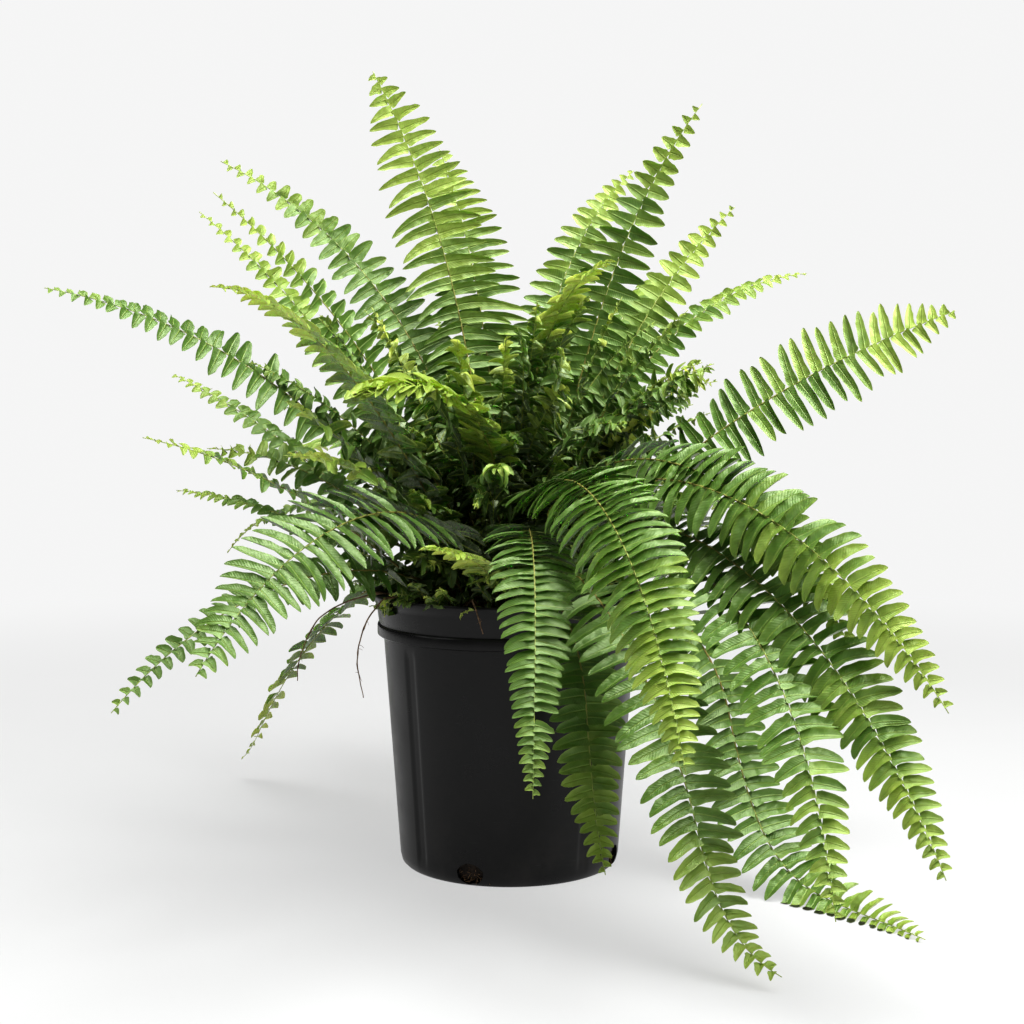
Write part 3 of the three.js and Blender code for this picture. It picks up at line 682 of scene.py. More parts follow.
def clear_of_pot(point):
    """Moves a point out of the floor, the pot's wall and the soil."""
    point.z = max(point.z, 0.5)
    radius = math.hypot(point.x, point.y)
    if point.z > POT_HEIGHT + 0.8 or radius < 1:
        return point
    if radius < INNER_BAND - 1:
        point.z = max(point.z, soil_height(point.x, point.y) + 0.5)
        return point
    if point.z > WALL_TOP:
        wall = LIP_RADIUS + 1
    else:
        wall = mix(FOOT_RADIUS + 3, NECK_RADIUS, point.z / WALL_TOP) + 1
    if radius < wall:
        point.x *= wall / radius
        point.y *= wall / radius
    return point


def rib_radius(share):
    return mix(1.25, 0.34, min(1, share * 1.05) ** 0.7)


RIB_RINGS = 52
RIB_SIDES = 6
RIB_FLATNESS = 0.85
RIB_FOOT = 12  # mm that a rib reaches down into the soil
MISSING_LEAFLETS = 0.004  # the chance that a leaflet has fallen


def rib_pattern():
    """A straight rib of radius 1 with its rings 1 apart; the first ring is the one below the soil."""
    bm = bmesh.new()
    right, up = Vector((1, 0, 0)), Vector((0, 1, 0))
    route = [(Vector((0, 0, at)), right, up) for at in range(RIB_RINGS)]
    add_tube(bm, route, lambda part: 1, RIB_SIDES, material_index=1)
    mesh = bpy.data.meshes.new("rib_pattern")
    bm.to_mesh(mesh)
    spots = [(round(vert.co.z), vert.co.x, vert.co.y) for vert in bm.verts]
    bm.free()
    return mesh, spots


def add_rib(bm, frond, rib, pattern, layers):
    """The rib, from its foot in the soil to its tip."""
    mesh, spots = pattern
    places = [place_at(rib, at / (RIB_RINGS - 2)) for at in range(RIB_RINGS - 1)]
    first, second = places[0], places[1]
    growing = (second.point - first.point).normalized()
    sunk = first.point - growing * RIB_FOOT
    places.insert(0, RibPlace(0, sunk, first.along, first.side, first.face))
    share_layer, tone_layer, shade_layer = (layers[name] for name in FROND_LAYERS)
    before = len(bm.verts)
    bm.from_mesh(mesh)
    bm.verts.ensure_lookup_table()
    for vert, (ring, across, high) in zip(bm.verts[before:], spots):
        place = places[ring]
        radius = rib_radius(place.share)
        vert.co = place.point + (place.side * across + place.face * (high * RIB_FLATNESS)) * radius
        vert[share_layer] = place.share
        vert[tone_layer] = frond["tone"]
        vert[shade_layer] = 0.5


def add_leaflets(bm, frond, rib, pattern, layers, draw, settings):
    """Leaflets in two rows, placed by turns along the rib."""
    mesh, spots = pattern
    share_layer, tone_layer, shade_layer = (layers[name] for name in FROND_LAYERS)
    share = frond["bare"]
    hand = 1
    while share < 0.992:
        reach = reach_at(frond, share)
        tighter = mix(1, frond["tight"], smooth(share, 0.58, 0.95))
        spacing = frond["spacing"] * settings.pitch * tighter * draw.uniform(0.95, 1.05)
        place = place_at(rib, share)
        keep = draw.random() > MISSING_LEAFLETS
        length = reach * draw.uniform(0.93, 1.07)
        leaflet = Leaflet(frond, place, hand, length, spacing, draw, settings)
        shade = draw.random()
        if keep:
            before = len(bm.verts)
            bm.from_mesh(mesh)
            bm.verts.ensure_lookup_table()
            places = leaflet.points()
            for vert, spot in zip(bm.verts[before:], spots):
                vert.co = clear_of_pot(places[spot])
                vert[share_layer] = share
                vert[tone_layer] = frond["tone"]
                vert[shade_layer] = shade
        share += spacing * 0.5 / frond["length"]
        hand = -hand


# What sets some fronds' leaflets apart. spacing: in mm along the rib, on one side. tight: the spacing at
# the tip, as a share of that. fill: how much of the spacing a leaflet takes. sag: how far the tip bends down
# in its own plane, and droop: out of its plane, as shares of its length. lean: degrees towards the frond's
# tip. bare: the share of the rib without leaflets. wild: how unruly they are. taper: how their length
# dwindles. fan: how much longer the last ones grow. point: from 0, blunt, to 1, narrowing to a sharp tip.
USUAL_LEAFLETS = {
    "spacing": 11.4, "tight": 0.9, "fill": 1.2, "sag": 0.14, "droop": 0.34, "lean": 3, "bare": 0.11,
    "wild": 1, "taper": "full", "fan": 0, "point": 0,
}
# Some tone entries here are painted light: lower tones darken fronds that the top, front and side lights make
# bright and fronds crowded low down, as painted shade, and frond_front_3's raised tone lightens it in the
# pot's shadow, as painted light.
OWN_LEAFLETS = {
    "frond_front_1": {
        "spacing": 8.8, "tight": 0.82, "fill": 1.55, "droop": 0.45,
        "lean": -2, "wild": 0.5, "reach": 39, "tone": 0.25,
    },
    "frond_front_2": {
        "spacing": 7.8, "tight": 0.76, "fill": 1.5, "lean": 0,
        "wild": 0.5, "taper": "even", "reach": 33, "tone": -0.45,
    },
    "frond_front_3": {"spacing": 10.2, "tight": 0.76, "fill": 1.45, "lean": 0, "reach": 30, "tone": 0.4},
    "frond_right_1": {
        "spacing": 11.1, "tight": 0.84, "fill": 1.07,
        "sag": 0.08, "taper": "blunt", "reach": 43,
    },
    "frond_right_2": {
        "spacing": 12.4, "tight": 0.7, "fill": 1.4, "droop": 0.5,
        "wild": 0.6, "reach": 34, "tone": 0.5,
    },
    "frond_right_3": {
        "spacing": 11.4, "tight": 0.68, "fill": 1.4, "droop": 0.5,
        "wild": 0.8, "reach": 35, "tone": 0.2,
    },
    "frond_right_4": {"spacing": 11.4, "tight": 0.72, "fill": 1.4, "droop": 0.5, "reach": 32, "tone": 0.15},
    "frond_floor_1": {"spacing": 11.8, "tight": 0.75, "reach": 38, "tone": 0.3},
    "frond_floor_2": {"spacing": 11.8, "tight": 0.75, "fill": 1.25, "reach": 34, "tone": 0.12},
    "frond_floor_3": {"spacing": 11.8, "tight": 0.75, "fill": 1.25, "reach": 34, "tone": 0.2},
    "frond_top_left_1": {
        "spacing": 12.5, "tight": 0.9, "fill": 1.04,
        "sag": 0.26, "taper": "blunt", "point": 0.6,
    },
    "frond_top_left_2": {"spacing": 10.4, "fill": 1.04, "sag": 0.24, "point": 0.4},
    "frond_top_left_3": {"spacing": 12, "tight": 1, "taper": "slender", "point": 0.4},
    "frond_top_left_4": {"spacing": 11.2, "tight": 0.88, "taper": "slender", "point": 0.4},
    "frond_top_left_5": {"spacing": 11.2, "taper": "slender", "point": 0.4},
    "frond_top_left_6": {"spacing": 11.2, "tight": 1, "taper": "even", "point": 0.4},
    "frond_left_1": {"spacing": 12.5, "tight": 0.78, "taper": "slender", "point": 0.4, "tone": -0.5},
    "frond_left_2": {"spacing": 13.5, "tight": 0.9, "wild": 1.5, "taper": "ragged", "point": 0.4},
    "frond_left_3": {"spacing": 11, "wild": 1.8, "taper": "ragged", "point": 0.4},
    "frond_left_4": {"spacing": 10, "wild": 1.5, "taper": "ragged", "point": 0.4},
    "frond_left_5": {"spacing": 10, "wild": 1.8, "taper": "ragged", "point": 0.4},
    "frond_top_right_1": {"spacing": 13, "taper": "even", "point": 0.4},
    "frond_top_right_2": {"spacing": 12, "taper": "even", "point": 0.4},
    "frond_top_right_3": {"spacing": 13.6, "tight": 0.84, "taper": "even", "point": 0.4},
    "frond_top_right_4": {"spacing": 11, "taper": "even", "point": 0.4},
    "frond_top_right_5": {"spacing": 10, "wild": 1.5, "taper": "even"},
    "frond_low_left_1": {"spacing": 11, "wild": 1.3, "taper": "ragged", "point": 0.4, "tone": -0.6},
    "frond_low_left_2": {"spacing": 13, "tight": 0.66, "sag": 0.08, "wild": 0.7, "reach": 43, "tone": -0.7},
    "frond_low_left_3": {"spacing": 14, "fill": 1.3, "wild": 1.5, "reach": 22, "tone": 0.5},
    "frond_middle_1": {
        "spacing": 6.5, "fill": 1.8, "droop": 0.25, "lean": 38,
        "bare": 0.4, "wild": 1.8, "taper": "even", "fan": 1.3,
    },
    "frond_middle_2": {"spacing": 9, "lean": 22, "bare": 0.3, "wild": 1.4, "taper": "even", "fan": 0.9},
    "frond_middle_3": {"spacing": 9, "wild": 4, "tone": -0.1},
    "frond_middle_4": {"spacing": 10, "wild": 4, "tone": -0.1},
}


def with_leaflets(frond):
    smaller = min(1, 0.5 + 0.5 * frond["reach"] / 34)
    usual = dict(USUAL_LEAFLETS, spacing=USUAL_LEAFLETS["spacing"] * smaller)
    if "young" in frond["name"]:
        usual["wild"] = 4
    return {**frond, **usual, **OWN_LEAFLETS.get(frond["name"], {})}


YOUNG_FRONDS = ("frond_middle_1", "frond_middle_2", "frond_top_left_1", "frond_top_right_3")


def grow(bm, frond, layers, patterns, draw, settings):
    rib = rib_of(frond)
    add_leaflets(bm, frond, rib, patterns[0], layers, draw, settings)
    add_rib(bm, frond, rib, patterns[1], layers)


def leafy_bmesh():
    bm = bmesh.new()
    return bm, {name: bm.verts.layers.float.new(name) for name in LEAFLET_LAYERS + FROND_LAYERS}


def make_frond(frond, patterns, settings):
    draw = random.Random(f"{settings.seed} {frond['name']}")
    bm, layers = leafy_bmesh()
    grow(bm, with_leaflets(frond), layers, patterns, draw, settings)
    young = "young" in frond["name"] or frond["name"] in YOUNG_FRONDS
    leaf = bpy.data.materials["Young leaf" if young else "Grown leaf"]
    piece_name = frond["name"].replace("frond", "leafy_frond")
    return finished_piece(piece_name, bm, [leaf, bpy.data.materials["Frond rib"]], [frond["name"]])


# Sprigs fill the heart of the plant and its foot: young fronds on thin stalks that have no node of their
# own. Ranges: length and reach in mm; rise, fall and turn in degrees; seat radius in mm from the axis;
# bare, the share of the stalk without leaflets; tones to choose from, mostly dark in the heart and at the
# foot as painted shade among the crowded fronds; bearings between which they grow.
SPRIG_KINDS = {
    "heart_sprigs": {
        "groups": 4, "count": 22, "length": (150, 300), "rise": (62, 88), "fall": (15, 90), "turn": (-90, 90),
        "reach": (14, 21), "seat_radius": (4, 24), "bare": (0.3, 0.55), "bearing": (0, 360),
        "tones": (-0.5, -0.35, -0.25, -0.2, -0.1, 0.2),
    },
    "low_sprigs": {
        "groups": 3, "count": 20, "length": (100, 185), "rise": (44, 74), "fall": (15, 70), "turn": (-70, 70),
        "reach": (12, 19), "seat_radius": (10, 40), "bare": (0.3, 0.5), "bearing": (0, 360),
        "tones": (-0.4, -0.2, -0.1, 0.1, 0.3),
    },
    "rim_sprouts": {
        "groups": 1, "count": 26, "length": (38, 95), "rise": (30, 80), "fall": (10, 90), "turn": (-60, 60),
        "reach": (7, 13), "seat_radius": (45, 88), "bare": (0.2, 0.45), "bearing": (150, 330),
        "tones": (-0.3, -0.1, 0.2, 0.6),
    },
}


def make_sprigs(kind, group, patterns, settings):
    sprigs = SPRIG_KINDS[kind]
    draw = random.Random(f"{settings.seed} {kind} {group}")
    bm, layers = leafy_bmesh()
    for _ in range(sprigs["count"]):
        heading = draw.uniform(*sprigs["bearing"])
        sprig = {
            "name": kind,
            "heading": heading,
            "length": draw.uniform(*sprigs["length"]),
            "rise": draw.uniform(*sprigs["rise"]),
            "fall": draw.uniform(*sprigs["fall"]),
            "bend": draw.uniform(1, 2),
            "sweep": draw.uniform(-30, 30),
            "turn": draw.uniform(*sprigs["turn"]),
            "reach": draw.uniform(*sprigs["reach"]),
            "tone": draw.choice(sprigs["tones"]),
            "seat": heading + draw.uniform(-30, 30),
            "seat_radius": draw.uniform(*sprigs["seat_radius"]),
            "fill": draw.uniform(1, 1.3),
            "sag": draw.uniform(0.1, 0.5),
            "droop": draw.uniform(0.3, 0.9),
            "lean": draw.uniform(5, 25),
            "bare": draw.uniform(*sprigs["bare"]),
            "wild": draw.uniform(3, 6),
            "tight": 0.8,
            "taper": draw.choice(("even", "full")),
            "fan": draw.choice((0, 0, 0.8)),
            "point": draw.choice((0, 0.7)),
        }
        sprig["spacing"] = mix(4.5, 9.5, smooth(sprig["reach"], 7, 20))
        grow(bm, sprig, layers, patterns, draw, settings)
    materials = [bpy.data.materials["Young leaf"], bpy.data.materials["Frond rib"]]
    return finished_piece(f"{kind}_{group}", bm, materials)


# Pot, soil, rootstock and runners

# The pot's outline as (radius, height) in mm: from under its base up the outside, over the lip and down.
POT_OUTLINE = (
    (0, 0.8), (60, 0.8), (80, 0.8), (84, 0), (87, 0.3), (89.3, 2.6), (90.6, 8), (90.95, 13),
    (91.3, 18), (102.7, 176), (103.1, 182), (103.4, 186), (103.6, 189), (107.4, 189.6),
    (108.7, 190.6), (108.8, 191.6), (108.8, 197.6), (108.3, 199), (107.2, 199.8), (107.1, 200.8),
    (107.7, 201.8), (109.2, 214), (109.7, 215.4), (111.2, 217.2), (113.8, 220.6), (114.4, 222),
    (114.5, 223.6), (114.1, 224.7), (113.3, 225), (112.6, 224.6), (112.1, 223.5), (110, 219.5),
    (107.4, 216.2), (105.4, 213.6), (103.9, 200), (103.9, 191), (101.2, 188), (100.9, 184),
    (87.6, 12), (86.2, 6), (84, 3), (80, 2.4), (0, 2.4),
)
POT_STEPS = 360
FLUTE_DEPTH = 1.3
DRAIN_SIZE = (11, 8.5)
DRAIN_HEIGHT = 10


def spun(bm, outline, steps):
    """A closed turned body about the Z axis from its outline, a row of (radius, height)."""
    verts = [bm.verts.new((radius, 0, height)) for radius, height in outline]
    edges = [bm.edges.new(pair) for pair in zip(verts, verts[1:])]
    bmesh.ops.spin(
        bm, geom=verts + edges, cent=(0, 0, 0), axis=(0, 0, 1), angle=FULL_TURN, steps=steps, use_merge=True)
    bmesh.ops.remove_doubles(bm, verts=bm.verts, dist=0.001)
    bmesh.ops.recalc_face_normals(bm, faces=bm.faces)
    for face in bm.faces:
        face.smooth = True


def sharpen(bm, degrees):
    limit = math.radians(degrees)
    for edge in bm.edges:
        edge.smooth = edge.calc_face_angle(0) < limit


def bearing_gap(point, azimuth):
    """How far round from that bearing a point is, in mm along the wall."""
    gap = (math.degrees(math.atan2(point.y, point.x)) - azimuth + 180) % 360 - 180
    return math.radians(gap) * math.hypot(point.x, point.y)


def press_flutes(bm):
    """Four shallow upright channels in the outside of the wall."""
    for vert in bm.verts:
        radius = math.hypot(vert.co.x, vert.co.y)
        outside = radius > 89 + vert.co.z * 0.073 - 0.6
        if not outside or not 6 < vert.co.z < 187:
            continue
        gap = min(abs(bearing_gap(vert.co, FLUTE_AZIMUTH + 90 * quarter)) for quarter in range(4))
        ends = smooth(vert.co.z, 8, 17) * (1 - smooth(vert.co.z, 177, 184))
        pressed = radius - FLUTE_DEPTH * ends * (1 - smooth(gap, 3.4, 6.4))
        vert.co.x *= pressed / radius
        vert.co.y *= pressed / radius


def cut_drains(pot):
    """Four ragged holes at the foot of the wall."""
    bm = bmesh.new()
    for quarter in range(4):
        azimuth = DRAIN_AZIMUTH + 90 * quarter
        out, level = around(azimuth, 1, 0), around(azimuth + 90, 1, 0)
        made = bmesh.ops.create_cone(
            bm, cap_ends=True, segments=28, radius1=1, radius2=1, depth=40)["verts"]
        for vert in made:
            angle = math.atan2(vert.co.y, vert.co.x)
            ragged = 1 + 0.13 * noise.noise(Vector((math.cos(angle), math.sin(angle), quarter * 3)) * 2.1)
            wide, high = vert.co.x * DRAIN_SIZE[0] * ragged, vert.co.y * DRAIN_SIZE[1] * ragged
            vert.co = out * (FOOT_RADIUS + vert.co.z) + level * wide
            vert.co.z = DRAIN_HEIGHT + high
    bmesh.ops.recalc_face_normals(bm, faces=bm.faces)
    bmesh.ops.scale(bm, vec=(MM, MM, MM), verts=bm.verts)
    mesh = bpy.data.meshes.new("drain_cutter")
    bm.to_mesh(mesh)
    bm.free()
    cutter = bpy.data.objects.new("drain_cutter", mesh)
    bpy.context.scene.collection.objects.link(cutter)
    cut = pot.modifiers.new("Drains", "BOOLEAN")
    cut.object = cutter
    cut.operation = "DIFFERENCE"
    cut.solver = "EXACT"
    whole = pot.evaluated_get(bpy.context.evaluated_depsgraph_get())
    finished = bpy.data.meshes.new_from_object(whole)
    pot.modifiers.clear()
    pot.data = finished
    bpy.data.objects.remove(cutter)
    bpy.data.meshes.remove(mesh)


def make_pot():
    bm = bmesh.new()
    spun(bm, POT_OUTLINE, POT_STEPS)
    press_flutes(bm)
    sharpen(bm, 38)
    pot = finished_piece("nursery_pot", bm, [bpy.data.materials["Pot plastic"]], ["pot"])
    cut_drains(pot)
    return pot


SOIL_OUTLINE = [(0, 3), (83.4, 3), (86.6, 8.6), (87, 12), (100.4, 184.5), (103.3, 192), (103.5, 199)]
SOIL_RINGS = 30
CRUMBS = 620  # lumps and flakes of bark on the soil


def add_crumb(bm, point, size, draw, stretch=1.0):
    """A small lump with corners, turned at random."""
    angle = draw.uniform(0, FULL_TURN)
    turn = Matrix.Rotation(angle, 4, Vector((draw.gauss(0, 1), draw.gauss(0, 1), 1)).normalized())
    place = Matrix.Translation(point) @ turn @ Matrix.Diagonal((size * stretch, size, size * 0.75, 1))
    made = bmesh.ops.create_icosphere(bm, subdivisions=1, radius=1, matrix=place)["verts"]
    for vert in made:
        vert.co += Vector((draw.gauss(0, 1), draw.gauss(0, 1), draw.gauss(0, 1))) * size * 0.14


def rough_soil(x, y):
    lumps = noise.fractal(Vector((x * 0.09, y * 0.09, 3)), 1, 2, 4)
    return soil_height(x, y) - 0.8 + 1.5 * lumps


def make_soil(settings):
    """The earth in the pot, with lumps, crumbs and flakes of bark on top."""
    draw = random.Random(settings.seed + 1)
    rings = [(103.4 * (1 - at / SOIL_RINGS), SOIL_EDGE) for at in range(SOIL_RINGS + 1)]
    bm = bmesh.new()
    spun(bm, SOIL_OUTLINE + rings, 150)
    for vert in bm.verts:
        if abs(vert.co.z - SOIL_EDGE) < 0.01:
            vert.co.z = rough_soil(vert.co.x, vert.co.y)
    for _ in range(CRUMBS):
        point = around(draw.uniform(0, 360), 101 * math.sqrt(draw.random()), 0)
        size = 0.7 + 1.9 * draw.random() ** 2.5
        point.z = rough_soil(point.x, point.y) + size * 0.3
        add_crumb(bm, point, size, draw, draw.choice((1, 1, 1.8)))
    earth = bpy.data.materials["Potting soil"]
    return finished_piece("potting_earth", bm, [earth], ["soil"])


def add_scale(bm, root, tip, width, thickness):
    """A dry pointed scale, thin and closed, from a cone of four sides."""
    along = tip - root
    made = bmesh.ops.create_cone(
        bm, cap_ends=True, segments=4, radius1=1, radius2=0.12, depth=1,
        matrix=Matrix.Translation((0, 0, 0.5)))["verts"]
    side = along.cross(Vector((0.2, 0.3, 1))).normalized()
    face = along.normalized().cross(side)
    for vert in made:
        across, high = vert.co.x * width / 2, vert.co.y * thickness / 2
        vert.co = root + along * vert.co.z + side * across + face * high


CROWN_OUTLINE = [
    (0, GROUND - 9), (20, GROUND - 9), (26.6, GROUND - 1), (23, GROUND + 2.4), (12, CROWN_TOP - 1.2),
    (0, CROWN_TOP - 0.4),
]
CROWN_SCALES = 240
OLD_STUBS = 16
ROOTLETS = 70


def make_crown(settings):
    """The rootstock: a scaly mound with the stubs of old fronds, and rootlets that run over the soil."""
    draw = random.Random(settings.seed + 2)
    bm = bmesh.new()
    spun(bm, CROWN_OUTLINE, 48)
    bmesh.ops.subdivide_edges(bm, edges=bm.edges, cuts=2, use_grid_fill=True)
    for vert in bm.verts:
        vert.co += vert.co.normalized() * noise.noise(vert.co * 0.22) * 1.4
    for _ in range(CROWN_SCALES):
        out = around(draw.uniform(0, 360), 1, 0)
        radius = 25 * math.sqrt(draw.random())
        root = out * radius
        root.z = CROWN_TOP - 1.5 - 5 * (radius / 26) ** 2
        outwards = out * draw.uniform(0, 4)
        tip = root + outwards + Vector((draw.gauss(0, 2), draw.gauss(0, 2), draw.uniform(2, 8)))
        add_scale(bm, root, tip, draw.uniform(1, 2.2), 0.4)
    for _ in range(OLD_STUBS):
        root = around(draw.uniform(0, 360), draw.uniform(6, 24), CROWN_TOP - 4)
        lean = Vector((draw.gauss(0, 0.3), draw.gauss(0, 0.3), 1)).normalized()
        points = [root + lean * reach for reach in (0, draw.uniform(9, 22), draw.uniform(22, 32))]
        add_tube(bm, route_places(points), lambda part: mix(1.7, 1.1, part), 7)
    for _ in range(ROOTLETS):
        add_rootlet(bm, draw)
    return finished_piece("scaly_rootstock", bm, [bpy.data.materials["Root"]], ["crown"])


def add_rootlet(bm, draw):
    """A thin root that creeps over the soil."""
    heading = draw.uniform(0, 360)
    point = around(heading, draw.uniform(15, 80), 0)
    heading = math.radians(heading + draw.gauss(0, 60))
    points = []
    for _ in range(draw.randint(5, 12)):
        if math.hypot(point.x, point.y) > 100:
            break
        point.z = rough_soil(point.x, point.y) + draw.uniform(0.0, 0.9)
        points.append(point.copy())
        heading += draw.gauss(0, 0.35)
        point += Vector((math.cos(heading), math.sin(heading), 0)) * 4.5
    if len(points) > 2:
        add_tube(bm, route_places(points), lambda part: mix(0.5, 0.22, part), 4)


# Dry runners over the rim, by the same points as the CAD part's.
RUNNERS = {
    "runner_1": ((-72, -52, 196), (-80, -58, 222), (-98, -74, 226), (-113, -84, 205), (-118, -86, 180),
                 (-114, -84, 150)),
    "runner_2": ((-80, -36, 196), (-92, -40, 224), (-116, -52, 226), (-150, -60, 210), (-166, -62, 178),
                 (-168, -62, 160)),
    "runner_3": ((-20, -78, 196), (-24, -90, 222), (-28, -106, 230), (-24, -119, 221), (-20, -122, 206)),
}
RUNNER_STEPS = 9


def curve_through(points, steps):
    """A smooth route through the points."""
    points = [Vector(point) for point in points]
    padded = [points[0] * 2 - points[1], *points, points[-1] * 2 - points[-2]]
    route = []
    for before, start, end, after in zip(padded, padded[1:], padded[2:], padded[3:]):
        for step in range(steps):
            part = step / steps
            square, cube = part * part, part ** 3
            place = start * 2 + (end - before) * part
            place += (before * 2 - start * 5 + end * 4 - after) * square
            place += (start * 3 - before - end * 3 + after) * cube
            route.append(place / 2)
    return [*route, points[-1]]


def make_runner(name, settings):
    """A wiry runner with knots and a few side rootlets."""
    draw = random.Random(f"{settings.seed} {name}")
    route = curve_through(RUNNERS[name], RUNNER_STEPS)
    for at, point in enumerate(route):
        drift = noise.noise_vector(point * 0.09) * min(1, at / 12) * 0.9
        route[at] = point + drift
    bm = bmesh.new()
    knots = [draw.uniform(0.1, 0.95) for _ in range(5)]

    def radius_at(part):
        knot = sum(math.exp(-((part - place) / 0.015) ** 2) for place in knots)
        return mix(0.85, 0.34, part) * (1 + 0.55 * knot)

    add_tube(bm, route_places(route), radius_at, 7)
    for _ in range(9):
        start = route[draw.randint(12, len(route) - 4)]
        away = Vector((draw.gauss(0, 1), draw.gauss(0, 1), draw.gauss(-0.5, 0.6))).normalized()
        length = draw.uniform(2, 7)
        points = [start, start + away * length * 0.5, start + away * length + Vector((0, 0, -length * 0.3))]
        add_tube(bm, route_places(points), lambda part: mix(0.22, 0.1, part), 3)
    piece_name = name.replace("runner", "dry_runner")
    return finished_piece(piece_name, bm, [bpy.data.materials["Root"]], [name])


def make_drain_roots(settings):
    """Root ends in the four drain holes."""
    draw = random.Random(settings.seed + 3)
    bm = bmesh.new()
    for quarter in range(4):
        for _ in range(26):
            azimuth = DRAIN_AZIMUTH + 90 * quarter + draw.uniform(-6, 6)
            points = [around(azimuth, 82, DRAIN_HEIGHT + draw.uniform(-6, 6))]
            sideways = draw.gauss(0, 3)
            for reach in (3, 5, draw.uniform(5.2, 8)):
                height = points[-1].z + draw.gauss(-0.5, 1.6)
                point = around(azimuth + sideways * reach / 6, 82 + reach, height)
                point.z = min(DRAIN_HEIGHT + 7.5, max(2.8, point.z))
                points.append(point)
            add_tube(bm, route_places(points), lambda part: mix(0.7, 0.25, part), 4)
    return finished_piece("drain_roots", bm, [bpy.data.materials["Root"]])


# Camera, light and floor

FLOOR_RADIUS = 6.0
SIDE_LIGHT_SHARE = 0.14  # of the front light's power
LOW_SKY_SHARE = 0.25  # of the fill light, from low down


def make_floor(settings):
    """A wide pale floor that takes shadows near the pot and fades into an evenly lit studio further out."""
    material, tree = new_material("Pale floor")
    place = tree.place()
    mottle = tree.noise(place, 6, 3)
    pale = colour_with_alpha(settings.floor_colour)
    greyer = colour_with_alpha([part * 0.98 for part in settings.floor_colour])
    colour = tree.colours(tree.spread(mottle, 0.3, 0.7), greyer, pale)
    glowing = colour_with_alpha(settings.backdrop_colour)
    near = tree.principled(
        Base_Color=colour, Roughness=0.75, Specular_IOR_Level=0.2, Emission_Color=glowing,
        Emission_Strength=settings.floor_glow)
    far = tree.node("ShaderNodeEmission")
    far.inputs["Color"].default_value = colour_with_alpha(settings.backdrop_colour)
    distance = tree.node("ShaderNodeVectorMath", operation="LENGTH")
    tree.links.new(place, distance.inputs[0])
    blend = tree.node("ShaderNodeMixShader")
    tree.links.new(tree.spread(distance.outputs["Value"], 0.55, 1.9), blend.inputs[0])
    tree.links.new(near.outputs[0], blend.inputs[1])
    tree.links.new(far.outputs[0], blend.inputs[2])
    tree.surface(blend)
    bm = bmesh.new()
    bmesh.ops.create_circle(bm, cap_ends=True, segments=96, radius=FLOOR_RADIUS)
    mesh = bpy.data.meshes.new("floor")
    bm.to_mesh(mesh)
    bm.free()
    mesh.materials.append(material)
    floor = bpy.data.objects.new("floor", mesh)
    bpy.context.scene.collection.objects.link(floor)


def make_world(settings):
    """Light from all round, stronger from above, and a pale studio behind everything."""
    world = bpy.data.worlds.new("studio")
    world.use_nodes = True
    tree = Tree(world.node_tree)
    height = tree.node("ShaderNodeSeparateXYZ")
    tree.links.new(tree.node("ShaderNodeTexCoord").outputs["Generated"], height.inputs[0])
    above = settings.sky_strength
    strength = tree.spread(height.outputs["Z"], -0.1, 0.9, above * LOW_SKY_SHARE, above)
    fill = tree.node("ShaderNodeBackground")
    tree.links.new(strength, fill.inputs["Strength"])
    seen = tree.node("ShaderNodeBackground")
    seen.inputs["Color"].default_value = colour_with_alpha(settings.backdrop_colour)
    blend = tree.node("ShaderNodeMixShader")
    tree.links.new(tree.node("ShaderNodeLightPath").outputs["Is Camera Ray"], blend.inputs[0])
    tree.links.new(fill.outputs[0], blend.inputs[1])
    tree.links.new(seen.outputs[0], blend.inputs[2])
    tree.links.new(blend.outputs[0], tree.node("ShaderNodeOutputWorld").inputs["Surface"])
    bpy.context.scene.world = world


def add_area_light(name, place, target, size, power):
    light = bpy.data.lights.new(name, "AREA")
    light.shape = "DISK"
    light.size = size
    light.energy = power
    lamp = bpy.data.objects.new(name, light)
    lamp.location = place
    lamp.rotation_euler = (Vector(target) - Vector(place)).to_track_quat("-Z", "Y").to_euler()
    bpy.context.scene.collection.objects.link(lamp)


def make_stage(settings):
    scene = bpy.context.scene
    camera = bpy.data.cameras.new("camera")
    camera.lens = settings.lens
    camera.sensor_width = 36
    camera.clip_end = 20
    viewer = bpy.data.objects.new("camera", camera)
    viewer.location = (settings.camera_side, -settings.camera_distance, settings.camera_height)
    viewer.rotation_euler = (math.radians(90) - settings.camera_pitch, 0, 0)
    scene.collection.objects.link(viewer)
    scene.camera = viewer
    make_world(settings)
    add_area_light("top_light", (0.2, -0.1, 2.1), (0, 0, 0.3), 1.2, settings.top_power)
    add_area_light("front_light", (0.8, -1.0, 1.7), (0, 0, 0.35), 1.3, settings.key_power)
    weak = settings.key_power * SIDE_LIGHT_SHARE
    add_area_light("side_light", (-1.6, -0.5, 1.2), (0, 0, 0.3), 1.0, weak)
    make_floor(settings)
    scene.view_settings.view_transform = "Standard"
    scene.view_settings.gamma = settings.picture_gamma


# Operators, panel and main

def make_materials(settings):
    if "Leaf colour" in bpy.data.node_groups:
        return
    leaf_colour_group()
    leaf_material("Grown leaf", settings)
    leaf_material("Young leaf", settings)
    rib_material()
    plastic_material()
    earth_material()
    root_material()


class FernStage(bpy.types.Operator):
    """Adds the camera, the light and the pale floor"""

    bl_idname = "fern.stage"
    bl_label = "Stage"

    def execute(self, context):
        make_stage(context.scene.fern_stage)
        return {"FINISHED"}


class FernPot(bpy.types.Operator):
    """Turns the pot, with its flutes, lip and drain holes"""

    bl_idname = "fern.pot"
    bl_label = "Pot"

    def execute(self, context):
        make_materials(context.scene.fern_plant)
        make_pot()
        return {"FINISHED"}


class FernGround(bpy.types.Operator):
    """Fills the pot with soil, the rootstock and root ends"""

    bl_idname = "fern.ground"
    bl_label = "Soil and roots"

    def execute(self, context):
        settings = context.scene.fern_plant
        make_materials(settings)
        make_soil(settings)
        make_crown(settings)
        make_drain_roots(settings)
        return {"FINISHED"}


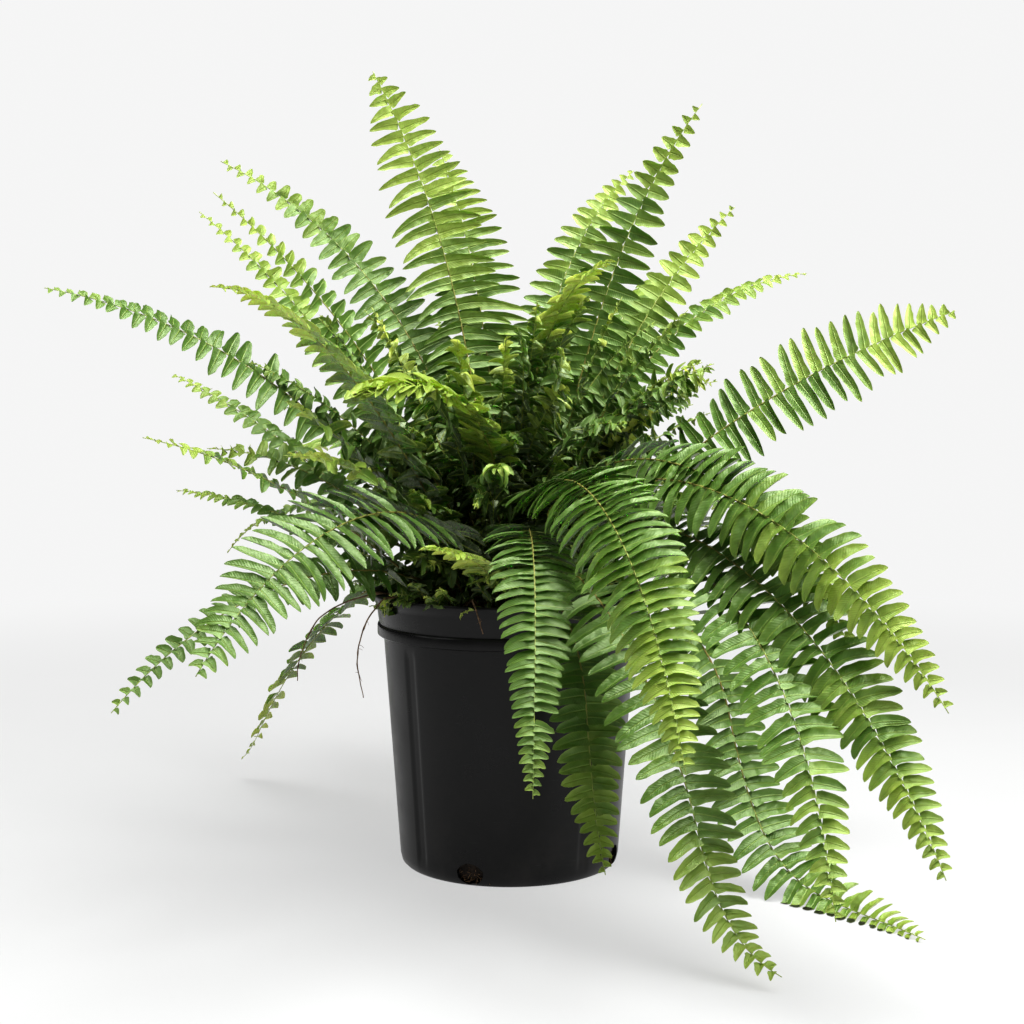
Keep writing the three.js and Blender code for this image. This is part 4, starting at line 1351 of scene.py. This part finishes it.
class FernRunners(bpy.types.Operator):
    """Hangs the dry runners over the rim"""

    bl_idname = "fern.runners"
    bl_label = "Runners"

    def execute(self, context):
        settings = context.scene.fern_plant
        make_materials(settings)
        for name in RUNNERS:
            make_runner(name, settings)
        return {"FINISHED"}


class FernFronds(bpy.types.Operator):
    """Grows every frond along its rib"""

    bl_idname = "fern.fronds"
    bl_label = "Fronds"

    def execute(self, context):
        settings = context.scene.fern_plant
        make_materials(settings)
        patterns = (leaflet_pattern(), rib_pattern())
        for frond in FRONDS:
            make_frond(frond, patterns, settings)
        for kind, sprigs in SPRIG_KINDS.items():
            for group in range(1, sprigs["groups"] + 1):
                make_sprigs(kind, group, patterns, settings)
        for mesh, _ in patterns:
            bpy.data.meshes.remove(mesh)
        return {"FINISHED"}


class FernPanel(bpy.types.Panel):
    """Lists the fern's settings and the steps that build it"""

    bl_idname = "VIEW3D_PT_fern"
    bl_label = "Potted fern"
    bl_space_type = "VIEW_3D"
    bl_region_type = "UI"
    bl_category = "Fern"

    def draw(self, context):
        for settings in (context.scene.fern_plant, context.scene.fern_stage):
            box = self.layout.box()
            for name in settings.bl_rna.properties.keys():
                if name not in ("rna_type", "name"):
                    box.prop(settings, name)
        for operator in STEPS:
            self.layout.operator(operator.bl_idname)


STEPS = (FernStage, FernPot, FernGround, FernRunners, FernFronds)
CLASSES = (FernPlantSettings, FernStageSettings, *STEPS, FernPanel)


def register():
    for kind in CLASSES:
        bpy.utils.register_class(kind)
    bpy.types.Scene.fern_plant = bpy.props.PointerProperty(type=FernPlantSettings)
    bpy.types.Scene.fern_stage = bpy.props.PointerProperty(type=FernStageSettings)


def unregister():
    del bpy.types.Scene.fern_stage
    del bpy.types.Scene.fern_plant
    for kind in reversed(CLASSES):
        bpy.utils.unregister_class(kind)


def main():
    register()
    bpy.ops.fern.stage()
    bpy.ops.fern.pot()
    bpy.ops.fern.ground()
    bpy.ops.fern.runners()
    bpy.ops.fern.fronds()


if __name__ == "__main__":
    main()
